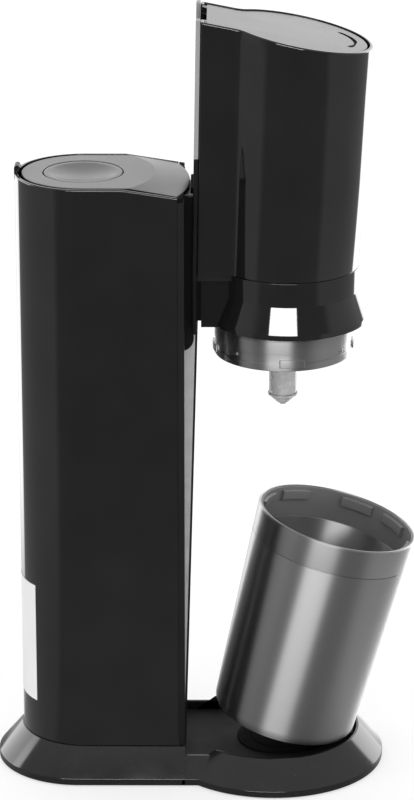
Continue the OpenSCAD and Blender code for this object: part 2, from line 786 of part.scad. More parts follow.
module release_button() {
    color([0.5, 0.5, 0.51]) difference() {
        union() {
            translate([col_x, 0, release_z])
                cylinder(r = release_r, h = release_top_z - release_z, $fn = fine);
            translate([col_x, 0, release_z - lid_t])
                cylinder(r = kick_r, h = lid_t + cut, $fn = small);
        }
        translate([col_x, 0, release_top_z - release_dish + dish_r]) sphere(r = dish_r, $fn = fine);
    }
}

rel_spring_r = 8;
rel_wire_r = 0.5;
rel_turns = 3;

module release_spring() {
    color([0.8, 0.8, 0.82]) translate([col_x, 0, cup_z + cup_floor_t])
        coil(rel_spring_r, rel_wire_r, rel_turns, release_z - cup_z - cup_floor_t);
}

// Pieces of the head
// Half width of the slot in the back of the head that clears the rail and the saddle
head_slot_hw = slot_hw - play;
saddle_hw = rail_hw + saddle_gap + saddle_wall;
saddle_front_x = frame_x + rail_top_out + saddle_gap + saddle_wall;
saddle_jaw_x = rail_x + play;
saddle_up = 5.8;
saddle_z = ring_z + saddle_up;
saddle_wall_z = flare_z + flare_band_h + play;
saddle_top_z = rail_top_z - cut;
saddle_edge_r = 9;
// Reach of the cheeks ahead of the frame
cheek_reach = 6.2;
cheek_x = frame_x + cheek_reach;
chassis_t = 4;
chassis_z = seam_z - chassis_t;
collar_wall = 2.4;
chassis_r = head_r - collar_wall - play / 2;
hub_r = 15;
hub_flange_r = 28;
post_x = saddle_front_x + play;
post_hw = 19;
// Drop of the shelf and of the button hinge below the top, and the hinge behind the post
shelf_drop = 40;
hinge_drop = 13;
hinge_ahead = 7;
shelf_z = head_top_z - shelf_drop;
hinge_x = post_x + hinge_ahead;
hinge_z = head_top_z - hinge_drop;
hinge_pin_r = 1.5;
hinge_hw = 12;
hinge_ear_t = 3;
button_t = 5;
spring_seat_r = 5;
button_wire_r = 0.5;
button_turns = 4;
button_spring_y = 22;
button_spring_h = 11;
groove_r = 27;
groove_shift = 17;
groove_x = head_x + groove_shift;
groove_w = 1.8;
groove_a = 92;
groove_depth = 1.6;
collar_floor = 2 * collar_wall;
ring_neck_r = 40;
ring_bore_r = 38;
ring_flange_r = 41.4;
ring_flange_t = 1.6;
// Clear height under the ring's lugs, and their height
ring_lug_z = 2.4;
ring_lug_h = 5.6;
ring_lug_a = 21;
ring_screw_a = 50;
ring_groove_z = 5;
ring_groove_h = 6.5;
ring_groove_d = 0.5;
// Lower edge and sides of the block under the neck, which is narrower than the neck
carriage_up = 1;
carriage_z = flare_z + carriage_up;
carriage_inset = 4.6;
// Lower end of the back plate's two posts
back_drop = 3;
back_foot_z = flare_z - back_drop;
carriage_hw = neck_hw - carriage_inset;
carriage_x = neck_x + back_t;
carriage_l = 19;
tan_slope = tan(head_slope);
head_growth = (head_flare_share - 1) / extrude_h;

// Height of the head's sloping top at a place along its length
function top_at(x) = head_top_z - (x - neck_x) * tan_slope;

// Slot up the back of the head
module head_slot(hw, depth) {
    translate([back_x - 2 * back_t, -hw, back_foot_z - cut])
        cube([depth + 2 * back_t, 2 * hw, head_top_z - back_foot_z + 4 * chassis_t]);
}

module head_shell() {
    color([0.06, 0.06, 0.065]) difference() {
        head_solid(0);
        translate([0, 0, -cut]) head_solid(head_wall);
        translate([0, 0, cut]) head_solid(head_wall);
        above_head(0);
        head_slot(head_slot_hw, neck_x - back_x + 4 * head_wall);
    }
}

// Side view of the back plate, which leans with the shell
module back_side() {
    lean = (neck_x - flare_x) * head_growth * (head_top_z - seam_z);
    polygon([[back_x, back_foot_z], [neck_x - play / 4, back_foot_z], [neck_x - play / 4, seam_z],
        [neck_x - play / 4 + lean, head_top_z], [back_x + lean, head_top_z]]);
}

module head_back() {
    color([0.62, 0.62, 0.63]) difference() {
        translate([0, neck_hw, 0]) rotate([90, 0, 0]) linear_extrude(height = 2 * neck_hw) back_side();
        head_slot(head_slot_hw, neck_x - back_x + head_wall * 4);
    }
}

module head_chassis() {
    color([0.22, 0.22, 0.23]) difference() {
        union() {
            translate([head_x, 0, chassis_z]) cylinder(r = chassis_r, h = chassis_t, $fn = fine);
            translate([neck_x + play, -neck_hw + head_wall + play, chassis_z])
                cube([head_x - neck_x, 2 * (neck_hw - head_wall - play), chassis_t]);
            translate([post_x, -post_hw, chassis_z]) cube([chassis_t, 2 * post_hw, shelf_z - chassis_z]);
            translate([post_x, -post_hw, shelf_z]) cube([axis_x - post_x, 2 * post_hw, chassis_t]);
            translate([axis_x - spring_seat_r, -button_spring_y - 2 * spring_seat_r, shelf_z])
                cube([4 * spring_seat_r, 2 * (button_spring_y + 2 * spring_seat_r), chassis_t]);
            for (s = [-1, 1]) hinge_ear(s);
        }
        translate([0, 0, -cut]) head_slot(saddle_hw + play, post_x - back_x - play / 2);
        translate([axis_x, 0, chassis_z - cut])
            cylinder(r = hub_r + pin_play, h = chassis_t + 2 * cut, $fn = small);
        translate([hinge_x, 0, hinge_z]) cross_pin(hinge_pin_r, neck_hw);
        chassis_screw_holes();
    }
}

// One of the two posts that carry the button's hinge pin
module hinge_ear(side) {
    ear_y = side * (hinge_hw + play + hinge_ear_t / 2) - hinge_ear_t / 2;
    translate([hinge_x - 2 * hinge_pin_r, ear_y, shelf_z])
        cube([4 * hinge_pin_r, hinge_ear_t, hinge_z - shelf_z + 2 * hinge_pin_r]);
}

// Two screws hold the block and two hold the nozzle hub
hub_screw_r = 18.5;
block_screw_y = 23.4;
chassis_screw_places = [for (s = [-1, 1])
    for (p = [[carriage_x + carriage_l / 2, block_screw_y], [axis_x, hub_screw_r]]) [p[0], s * p[1]]];

module chassis_screws() {
    color([0.6, 0.6, 0.62]) for (p = chassis_screw_places) translate([p[0], p[1], chassis_z - boss_r]) {
        cylinder(r = screw_r - pin_play, h = boss_r + chassis_t, $fn = small);
        translate([0, 0, boss_r + chassis_t]) cylinder(r = screw_head_r, h = screw_head_h, $fn = small);
    }
}

// Holes for the screws under the chassis
module chassis_screw_holes() {
    for (p = chassis_screw_places) translate([p[0], p[1], chassis_z - boss_r - cut])
        cylinder(r = screw_r, h = boss_r + chassis_t + 2 * cut, $fn = small);
}

// Saddle that wraps the rail: two cheeks with rounded feet, and a front wall higher up
module head_saddle() {
    color([0.08, 0.08, 0.085]) difference() {
        union() {
            for (s = [-1, 1]) saddle_cheek(s);
            translate([saddle_jaw_x, -saddle_hw, saddle_wall_z])
                cube([saddle_front_x - saddle_jaw_x, 2 * saddle_hw, saddle_top_z - saddle_wall_z]);
        }
        translate([0, rail_hw + saddle_gap, 0]) rotate([90, 0, 0])
            linear_extrude(height = 2 * (rail_hw + saddle_gap)) polygon([
                [saddle_jaw_x - cut, rail_z], [frame_x + rail_foot_out + saddle_gap, rail_z],
                [frame_x + rail_top_out + saddle_gap, rail_top_z],
                [frame_x + rail_top_out + saddle_gap, 2 * rail_top_z], [saddle_jaw_x - cut, 2 * rail_top_z]
            ]);
    }
}

module saddle_cheek(side) {
    translate([0, side * (saddle_hw - saddle_wall / 2) + saddle_wall / 2, 0]) rotate([90, 0, 0])
        linear_extrude(height = saddle_wall) difference() {
            translate([saddle_jaw_x, saddle_z])
                square([cheek_x - saddle_jaw_x, saddle_wall_z - saddle_z + cut]);
            translate([cheek_x - saddle_edge_r, saddle_z]) difference() {
                translate([0, -cut]) square([saddle_edge_r + cut, saddle_edge_r + cut]);
                translate([0, saddle_edge_r]) circle(r = saddle_edge_r, $fn = small);
            }
        }
}

pad_high = 16;
pad_deep = saddle_gap - play / 2;
pad_share = [0.15, 0.85];

module saddle_pads() {
    color([0.85, 0.85, 0.82]) for (s = [-1, 1]) for (f = pad_share)
        translate([saddle_jaw_x + saddle_wall, s * (rail_hw + saddle_gap - pad_deep / 2) - pad_deep / 2,
            saddle_wall_z + (saddle_top_z - saddle_wall_z - pad_high) * f])
            cube([2 * saddle_wall, pad_deep, pad_high]);
}

// Black block under the neck that ties collar, saddle and chassis together

module carriage_block() {
    color([0.07, 0.07, 0.075]) difference() {
        translate([carriage_x, -carriage_hw, carriage_z])
            cube([carriage_l, 2 * carriage_hw, chassis_z - carriage_z - play / 2]);
        translate([head_x, 0, carriage_z - cut]) cylinder(r = head_r + play, h = chassis_z, $fn = fine);
        translate([head_x, 0, 0]) flare_space();
        head_slot(saddle_hw + play, saddle_front_x - back_x + play);
        chassis_screw_holes();
    }
}

// Space taken by the flared collar
module flare_space() {
    translate([0, 0, flare_z - cut]) cylinder(r = flare_r + play, h = flare_band_h + cut, $fn = fine);
    translate([0, 0, flare_z + flare_band_h - slice_t])
        cylinder(r1 = flare_r + play, r2 = head_r + play, h = flare_h + slice_t, $fn = fine);
}

module head_collar() {
    color([0.06, 0.06, 0.065]) difference() {
        translate([head_x, 0, 0]) rotate_extrude($fn = fine) polygon([
            [ring_neck_r - 2 * head_shift, flare_z], [flare_r - play, flare_z], [flare_r, flare_z + play],
            [flare_r, flare_z + flare_band_h], [head_r, neck_z], [head_r, seam_z - play],
            [head_r - collar_wall, seam_z - play], [head_r - collar_wall, flare_z + collar_floor],
            [ring_neck_r - 2 * head_shift, flare_z + collar_floor]
        ]);
        translate([axis_x, 0, flare_z - cut])
            cylinder(r = ring_neck_r + turn_gap, h = collar_floor + 2 * cut, $fn = fine);
        head_slot(saddle_hw + play, saddle_front_x - back_x + play);
        translate([neck_x, -neck_hw + head_wall, chassis_z - play])
            cube([head_x - neck_x - head_r / 2, 2 * (neck_hw - head_wall), chassis_t + play]);
    }
}

module collar_gasket() {
    color([0.05, 0.05, 0.05]) translate([head_x, 0, chassis_z - collar_wall])
        tube(head_r - collar_wall - play / 2, head_r - 2 * collar_wall, collar_wall);
}

// Top plate of the head, pressed to carbonate
module carbonation_button() {
    color([0.66, 0.66, 0.67]) {
        difference() {
            intersection() {
                head_solid(head_wall + button_gap);
                above_head(button_recess + button_t);
            }
            above_head(button_recess);
            head_slot(head_slot_hw, hinge_x - back_x - 2 * hinge_pin_r);
            button_groove();
        }
        difference() {
            translate([hinge_x - 2 * hinge_pin_r, -hinge_hw, hinge_z - 2 * hinge_pin_r])
                cube([4 * hinge_pin_r, 2 * hinge_hw, top_at(hinge_x) - button_t - hinge_z + 3 * hinge_pin_r]);
            translate([hinge_x, 0, hinge_z]) cross_pin(hinge_pin_r + pin_play, hinge_hw + cut);
        }
        for (s = [-1, 1]) translate([axis_x + spring_seat_r, s * button_spring_y, shelf_z + chassis_t])
            translate([0, 0, button_spring_h]) cylinder(r = spring_seat_r,
                h = top_at(axis_x) - button_t - shelf_z - chassis_t - button_spring_h, $fn = small);
    }
}

// Curved finger groove near the front of the top plate
module button_groove() {
    translate([groove_x, 0, top_at(groove_x + groove_r) - button_recess - groove_depth])
        rotate([0, 0, -groove_a / 2]) rotate_extrude(angle = groove_a, $fn = fine)
            translate([groove_r, 0]) square([groove_w, button_t * 3]);
}

module button_pin() {
    color([0.7, 0.7, 0.72]) translate([hinge_x, 0, hinge_z])
        cross_pin(hinge_pin_r - pin_play / 2, hinge_hw + play + hinge_ear_t);
}

module button_springs() {
    color([0.8, 0.8, 0.82]) for (s = [-1, 1])
        translate([axis_x + spring_seat_r, s * button_spring_y, shelf_z + chassis_t])
            coil(spring_seat_r - 2 * button_wire_r, button_wire_r, button_turns, button_spring_h);
}

gas_tube_r = 3;
gas_bend_r = 12;
gas_tube_z = (seam_z + shelf_z) / 2;

module gas_tube() {
    color([0.8, 0.8, 0.8]) {
        translate([axis_x, 0, seam_z]) cylinder(r = gas_tube_r, h = gas_tube_z - seam_z, $fn = small);
        translate([axis_x, 0, gas_tube_z]) sphere(r = gas_tube_r, $fn = small);
        translate([axis_x - gas_bend_r, 0, gas_tube_z + gas_bend_r]) sphere(r = gas_tube_r, $fn = small);
        translate([axis_x - gas_bend_r, 0, gas_tube_z]) rotate([90, 0, 0])
            rotate_extrude(angle = 90, $fn = fine)
                translate([gas_bend_r, 0]) circle(r = gas_tube_r, $fn = small);
        translate([post_x + chassis_t, 0, gas_tube_z + gas_bend_r]) rotate([0, 90, 0])
            cylinder(r = gas_tube_r, h = axis_x - gas_bend_r - post_x - chassis_t, $fn = small);
    }
}

relief_r = 6;
relief_h = 22;

module relief_valve() {
    color([0.75, 0.6, 0.3]) translate([head_x, hub_flange_r, seam_z]) {
        cylinder(r = relief_r, h = relief_h / 3, $fn = 6);
        cylinder(r = relief_r * 2 / 3, h = relief_h, $fn = small);
    }
}

// Heights of the nozzle parts above the foot of the ring
hub_foot = 6;
hub_floor = 13;
seal_h = 6;

module nozzle_hub() {
    color([0.35, 0.35, 0.36]) translate([axis_x, 0, ring_z]) difference() {
        union() {
            translate([0, 0, hub_foot]) cylinder(r = hub_r, h = seam_z - ring_z - hub_foot, $fn = small);
            translate([0, 0, hub_floor]) cylinder(r = hub_flange_r, h = ring_wall, $fn = fine);
            translate([0, 0, chassis_z - ring_z - chassis_t])
                cylinder(r = hub_flange_r - seal_h, h = chassis_t, $fn = fine);
        }
        translate([0, 0, hub_foot - cut])
            cylinder(r = nozzle_r + pin_play, h = hub_floor - hub_foot + cut, $fn = small);
        cylinder(r = nozzle_r / 4, h = seam_z - ring_z - chassis_t, $fn = small);
        translate([-axis_x, 0, -ring_z]) chassis_screw_holes();
    }
}

module nozzle_tube() {
    color([0.9, 0.9, 0.88]) translate([axis_x, 0, ring_z - nozzle_l])
        tube(nozzle_r, nozzle_r * 3 / 4, nozzle_l + hub_floor, small);
}

module nozzle_tip() {
    color([0.92, 0.92, 0.9]) translate([axis_x, 0, ring_z - nozzle_l - tip_l]) rotate_extrude($fn = small)
        polygon([[nozzle_r / 12, 0], [nozzle_r / 5, 0], [nozzle_r, tip_l * 5 / 6],
            [nozzle_r * 13 / 12, tip_l * 5 / 6], [nozzle_r * 13 / 12, tip_l], [nozzle_r / 12, tip_l]]);
}

module neck_seal() {
    color([0.08, 0.08, 0.08]) translate([axis_x, 0, ring_z + hub_floor - seal_h]) rotate_extrude($fn = fine)
        polygon([[hub_r + pin_play, seal_h / 3], [hub_r + seal_h, 0], [hub_flange_r - seal_h / 2, seal_h / 2],
            [hub_flange_r - seal_h / 6, seal_h], [hub_r + pin_play, seal_h]]);
}

// Steel ring that turns under the collar and locks the vessel
module locking_ring() {
    neck_top = flare_z - ring_z + collar_floor + play;
    color([0.75, 0.75, 0.76]) translate([axis_x, 0, ring_z]) difference() {
        union() {
            rotate_extrude($fn = fine) polygon([
                [ring_r - ring_wall, 0], [ring_r - ring_groove_d, 0], [ring_r, ring_groove_d],
                [ring_r, ring_groove_z], [ring_r - ring_groove_d, ring_groove_z],
                [ring_r - ring_groove_d, ring_groove_z + ring_groove_h],
                [ring_r, ring_groove_z + ring_groove_h], [ring_r, ring_h], [ring_neck_r, ring_h],
                [ring_neck_r, neck_top], [ring_flange_r, neck_top],
                [ring_flange_r, neck_top + ring_flange_t],
                [ring_bore_r, neck_top + ring_flange_t], [ring_bore_r, ring_h - ring_wall],
                [ring_r - ring_wall, ring_h - ring_wall]
            ]);
            for (i = [0:lug_pairs - 1]) rotate([0, 0, i * 360 / lug_pairs + lug_turn_a - ring_lug_a / 2])
                translate([0, 0, ring_lug_z]) rotate_extrude(angle = ring_lug_a, $fn = fine)
                    translate([ring_r - ring_wall / 2, 0])
                        square([ring_wall / 2 + ring_lug_out, ring_lug_h]);
        }
        for (a = ring_screw_angles) rotate([0, 0, a])
            translate([ring_r - 2 * ring_wall, 0, ring_groove_z + ring_groove_h / 2]) rotate([0, 90, 0])
                cylinder(r = ring_wall / 3, h = 4 * ring_wall, $fn = small);
    }
}

ring_screw_angles = [for (q = [90, 270]) for (s = [-1, 1]) lug_turn_a + q + s * ring_screw_a];

module ring_screws() {
    color([0.8, 0.8, 0.82]) for (a = ring_screw_angles)
        translate([axis_x, 0, ring_z + ring_groove_z + ring_groove_h / 2]) rotate([0, 0, a])
            translate([ring_r - ring_wall, 0, 0]) rotate([0, 90, 0]) {
                cylinder(r = ring_wall / 3 - pin_play, h = ring_wall, $fn = small);
                translate([0, 0, ring_wall - ring_groove_d])
                    cylinder(r = ring_wall / 2, h = ring_groove_d * 2, $fn = small);
            }
}

// Vessel: its outer radius at a height, and the radius inside its steel at that height
function vessel_r(z) = vessel_foot_r + taper * (z - vessel_z);
function inner_r(z) = vessel_r(z) - band_step - play / 2 - steel_t;
edge_steps = 8;
collar_t = 1.3;
collar_z = rim_z - liner_drop;
lip_t = 0.4;
collar_top_z = rim_z - lip_t;

// Rounded bottom edge, drawn at an inset d from the outside
function edge_points(d) = [for (i = [0:edge_steps]) let (a = -90 + 90 * i / edge_steps)
    [vessel_foot_r - vessel_edge_r + (vessel_edge_r - d) * cos(a), edge_z + (vessel_edge_r - d) * sin(a)]];
function reverse(p) = [for (i = [len(p) - 1:-1:0]) p[i]];

module vessel_shell() {
    color([0.7, 0.7, 0.71]) tipped() translate([axis_x, 0, 0]) rotate_extrude($fn = fine) polygon(concat(
        [[0, vessel_z]], edge_points(0),
        [[vessel_r(band_z), band_z], [vessel_r(band_z) - band_step - play / 2, band_z],
            [vessel_r(rim_z) - band_step - play / 2, collar_top_z], [inner_r(rim_z), collar_top_z],
            [inner_r(edge_z + vessel_edge_r), edge_z + vessel_edge_r]],
        reverse(edge_points(band_step + play / 2 + steel_t)),
        [[0, vessel_z + band_step + play / 2 + steel_t]]
    ));
}

module vessel_band() {
    color([0.73, 0.73, 0.74]) tipped() translate([axis_x, 0, 0]) rotate_extrude($fn = fine) polygon([
        [vessel_r(band_z + band_groove) - band_step, band_z + band_groove],
        [vessel_r(band_z + band_groove), band_z + band_groove],
        [vessel_r(rim_z) - band_groove / 2, rim_z - band_groove], [vessel_r(rim_z) - band_groove, rim_z],
        [inner_r(rim_z) + play / 2, rim_z], [inner_r(rim_z) + play / 2, collar_top_z + pin_play],
        [vessel_r(rim_z) - band_step, collar_top_z + pin_play]
    ]);
}

module vessel_collar() {
    color([0.42, 0.42, 0.42]) tipped() translate([axis_x, 0, 0]) {
        rotate_extrude($fn = fine) polygon([
            [inner_r(collar_z) - play / 2 - collar_t, collar_z], [inner_r(collar_z) - play / 2, collar_z],
            [inner_r(rim_z) - play / 2, collar_top_z], [inner_r(rim_z) - play / 2 - collar_t, collar_top_z]
        ]);
        for (i = [0:lug_pairs - 1]) for (s = [-1, 1])
            rotate([0, 0, i * 360 / lug_pairs + lug_turn_a + s * lug_gap_a - lug_a / 2]) collar_lug();
    }
}

module collar_lug() {
    lug_r = inner_r(rim_z - lug_top - lug_high) - play / 2 - collar_t;
    translate([0, 0, rim_z - lug_top - lug_high]) rotate_extrude(angle = lug_a, $fn = fine)
        polygon([[lug_r - lug_out, lug_out], [lug_r - lug_out, lug_high - lug_out / 2], [lug_r, lug_high],
            [lug_r + collar_t / 2, lug_high], [lug_r + collar_t / 2, 0], [lug_r, 0]]);
}

liner_top_z = collar_z - play / 2;
liner_in_r = inner_r(collar_z) - play / 2 - collar_t - liner_wall;

module vessel_liner() {
    color([0.66, 0.66, 0.67]) tipped() translate([axis_x, 0, 0]) rotate_extrude($fn = fine) polygon([
        [0, liner_z], [liner_foot_r - liner_wall, liner_z], [liner_foot_r, liner_z + liner_wall],
        [liner_in_r + liner_wall, liner_top_z - 2 * liner_wall],
        [inner_r(collar_z) - play / 2, liner_top_z - liner_wall],
        [inner_r(collar_z) - play / 2, liner_top_z], [liner_in_r, liner_top_z],
        [liner_foot_r - 2 * liner_wall, liner_z + liner_wall], [0, liner_z + liner_wall]
    ]);
}

module vessel_foot() {
    color([0.1, 0.1, 0.1]) tipped() {
        translate([axis_x, 0, vessel_z - foot_disc_t]) difference() {
            cylinder(r = foot_disc_r, h = foot_disc_t, $fn = fine);
            translate([0, 0, -cut])
                cylinder(r = foot_disc_r * 3 / 5, h = foot_disc_t / 2 + cut, $fn = fine);
        }
        difference() {
            union() {
                translate([axis_x + foot_disc_r * 4 / 5, -lug_hw, vessel_z - foot_disc_t])
                    cube([tilt_x - axis_x - foot_disc_r * 4 / 5, 2 * lug_hw, foot_disc_t]);
                translate([tilt_x, 0, tilt_z]) cross_pin(ear_r, lug_hw);
            }
            translate([tilt_x, 0, tilt_z]) cross_pin(tilt_pin_r, lug_hw + cut);
        }
    }
}

base_shell();
base_plate();
rubber_feet();
base_screws();
rest_pad();
tilt_pin();
column_spine();
front_frame();
guide_rail();
rail_strip();
frame_screws();
gas_cylinder();
cylinder_valve();
valve_stem();
cylinder_seat();
valve_block();
valve_washer();
burst_cap();
actuator_lever();
actuator_pin();
actuator_spring();
column_cover();
top_lid();
rating_label();
rear_tab();
release_button();
release_spring();
head_shell();
head_back();
head_chassis();
head_saddle();
saddle_pads();
carriage_block();
head_collar();
collar_gasket();
chassis_screws();
carbonation_button();
button_pin();
button_springs();
gas_tube();
relief_valve();
nozzle_hub();
nozzle_tube();
nozzle_tip();
neck_seal();
locking_ring();
ring_screws();
vessel_shell();
vessel_band();
vessel_collar();
vessel_liner();
vessel_foot();
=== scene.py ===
"""Looks of the sparkling water maker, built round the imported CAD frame.

Lengths in the code are millimetres unless named otherwise.
"""
import json
import math
import bpy
import bmesh
from mathutils import Matrix, Vector

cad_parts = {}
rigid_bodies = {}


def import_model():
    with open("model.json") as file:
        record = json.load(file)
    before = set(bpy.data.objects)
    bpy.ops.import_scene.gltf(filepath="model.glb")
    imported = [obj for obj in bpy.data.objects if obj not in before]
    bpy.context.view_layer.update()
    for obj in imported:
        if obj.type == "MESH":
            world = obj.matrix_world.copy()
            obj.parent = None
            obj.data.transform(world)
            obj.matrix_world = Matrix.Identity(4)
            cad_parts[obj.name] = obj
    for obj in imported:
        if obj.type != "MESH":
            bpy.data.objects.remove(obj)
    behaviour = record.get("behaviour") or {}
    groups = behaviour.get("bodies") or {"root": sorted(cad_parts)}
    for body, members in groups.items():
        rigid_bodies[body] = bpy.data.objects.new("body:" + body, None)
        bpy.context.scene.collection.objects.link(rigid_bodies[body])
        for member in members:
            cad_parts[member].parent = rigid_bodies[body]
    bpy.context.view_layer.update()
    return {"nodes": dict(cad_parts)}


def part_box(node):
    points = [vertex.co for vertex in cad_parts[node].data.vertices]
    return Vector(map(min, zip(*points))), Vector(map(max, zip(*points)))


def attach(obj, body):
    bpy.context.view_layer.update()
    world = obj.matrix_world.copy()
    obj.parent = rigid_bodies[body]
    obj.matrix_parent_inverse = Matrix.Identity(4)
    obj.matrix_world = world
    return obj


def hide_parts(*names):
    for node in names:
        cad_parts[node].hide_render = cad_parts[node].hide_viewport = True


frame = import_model()
MM = 0.001
pi = math.pi

# Places, as in the CAD source
AXIS_X = (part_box("locking_ring")[0].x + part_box("locking_ring")[1].x) / 2 / MM
COL_X = AXIS_X - 132.8
SEAM_X = COL_X + 62.5
FRAME_X = SEAM_X + 4.4
BACK_X = FRAME_X + 5
NECK_X = BACK_X + 3
HEAD_X = AXIS_X + 3
FRONT_X = AXIS_X - 5.6
REAR_X = COL_X - 5.8
TILT_X = AXIS_X + 49.03
TILT_Z, TILT_A = 15.57, math.radians(13.9)
DECK_Z, LID_Z, TOP_Z, SEAM_Z, HEAD_TOP_Z = 12.0, 411.5, 420.0, 357.1, 528.5
RING_Z, FLARE_Z, NECK_Z = 296.0, 319.4, 340.6
VESSEL_Z, RIM_Z = 15.2, 167.8
COL_R, HEAD_R, NECK_HW, BLEND_R = 45.5, 47.2, 30.6, 9.0
SLOPE = math.tan(math.radians(11.3))
FLARE_X, EXTRUDE_H, GROW = BACK_X - 48, HEAD_TOP_Z - SEAM_Z + 8, 0.056


# Mesh helpers
def direction(a):
    """Unit direction at an angle in degrees."""
    return math.cos(math.radians(a)), math.sin(math.radians(a))


def arc(cx, cy, r, a0, a1, n):
    """Points of an arc, angles in degrees."""
    ways = [direction(a0 + (a1 - a0) * i / n) for i in range(n + 1)]
    return [(cx + r * x, cy + r * y) for x, y in ways]


def rounded(points, closed=True, n=5):
    """Rounds the corners of a 2-D outline of (x, y, radius)."""
    out, m = [], len(points)
    for i, (x, y, r) in enumerate(points):
        p = Vector((x, y))
        if r <= 0 or (not closed and i in (0, m - 1)):
            out.append((x, y))
            continue
        u = Vector(points[i - 1][:2]) - p
        v = Vector(points[(i + 1) % m][:2]) - p
        room = 0.46 * min(u.length, v.length)
        u.normalize()
        v.normalize()
        half = math.acos(max(-1, min(1, u.dot(v)))) / 2
        t = min(r / math.tan(half), room)
        r = t * math.tan(half)
        c = p + (u + v).normalized() * (r / math.sin(half))
        s, e = p + u * t - c, p + v * t - c
        a0 = math.atan2(s.y, s.x)
        turn = (math.atan2(e.y, e.x) - a0 + pi) % (2 * pi) - pi
        turns = [a0 + turn * k / n for k in range(n + 1)]
        out += [(c.x + r * math.cos(a), c.y + r * math.sin(a)) for a in turns]
    return out


def grid(rings, around=True, closed=True):
    """Vertices and faces of rings of points.

    around joins the last ring to the first, closed joins each ring's ends.
    """
    n, m = len(rings), len(rings[0])
    verts = [p for ring in rings for p in ring]
    faces = []
    for i in range(n if around else n - 1):
        for j in range(m if closed else m - 1):
            a, b = i * m + j, i * m + (j + 1) % m
            c, d = ((i + 1) % n) * m + (j + 1) % m, ((i + 1) % n) * m + j
            faces.append((a, b, c, d))
    if not around and closed:
        faces += [tuple(range(m))[::-1], tuple((n - 1) * m + j for j in range(m))]
    return verts, faces


def revolve(profile, x=0.0, n=160, a0=None, a1=None, z=0.0):
    """A closed (r, z) profile turned about an upright line at x. Angles in degrees from +X."""
    full = a0 is None
    a0, a1 = (0, 360) if full else (a0, a1)
    steps = range(n) if full else range(n + 1)
    rings = []
    for i in steps:
        a = math.radians(a0 + (a1 - a0) * i / n)
        rings.append([(x + r * math.cos(a), r * math.sin(a), z + h) for r, h in profile])
    return grid(rings, around=full)


def prism(outline, z0, z1):
    """An upright prism on a plan outline."""
    return grid([[(x, y, z0) for x, y in outline], [(x, y, z1) for x, y in outline]], around=False)


def slab(outline, y0, y1):
    """A prism across the object on a side outline of (x, z)."""
    return grid([[(x, y0, z) for x, z in outline], [(x, y1, z) for x, z in outline]], around=False)


def join(*parts):
    """One part of several."""
    verts, faces = [], []
    for v, f in parts:
        k = len(verts)
        verts += v
        faces += [tuple(i + k for i in face) for face in f]
    return verts, faces


def mesh_object(name, parts, sharp=28):
    """An object of the parts joined, smooth but for edges sharper than an angle in degrees."""
    verts, faces = join(*parts)
    mesh = bpy.data.meshes.new(name)
    mesh.from_pydata([(x * MM, y * MM, z * MM) for x, y, z in verts], [], faces)
    tidy(mesh, sharp)
    o = bpy.data.objects.new(name, mesh)
    bpy.context.scene.collection.objects.link(o)
    return o


def piece(name, parts, material, body, replaces=(), matrix=None, sharp=28, bevel=0.0):
    """Makes a visible piece of the parts and ties it to its body."""
    o = mesh_object(name, parts, sharp)
    o.data.materials.append(material)
    if matrix is not None:
        o.matrix_world = matrix
    if bevel:
        soften(o, bevel)
    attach(o, body)
    if replaces:
        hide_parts(*replaces)
    return o


def tidy(mesh, sharp=28):
    """Merges doubled points, turns the faces outward and marks the sharp edges."""
    bm = bmesh.new()
    bm.from_mesh(mesh)
    bmesh.ops.remove_doubles(bm, verts=bm.verts, dist=2e-6)
    bmesh.ops.recalc_face_normals(bm, faces=bm.faces)
    limit = math.radians(sharp)
    for e in bm.edges:
        e.smooth = len(e.link_faces) == 2 and e.calc_face_angle(0) < limit
    for f in bm.faces:
        f.smooth = True
    bm.to_mesh(mesh)
    bm.free()


def soften(o, width):
    """A small rounding of an object's sharp edges."""
    b = o.modifiers.new("soft_edges", "BEVEL")
    b.width = width * MM
    b.segments = 3
    b.limit_method = "ANGLE"
    b.angle_limit = math.radians(32)
    b.harden_normals = True


def cut(o, cutter):
    """Takes a cutter's shape out of an object and drops the cutter."""
    m = o.modifiers.new("cut", "BOOLEAN")
    m.object, m.operation, m.solver = cutter, "DIFFERENCE", "EXACT"
    bpy.context.view_layer.update()
    mesh = bpy.data.meshes.new_from_object(o.evaluated_get(bpy.context.evaluated_depsgraph_get()))
    o.modifiers.remove(m)
    o.data = mesh
    tidy(mesh)
    bpy.data.objects.remove(cutter)


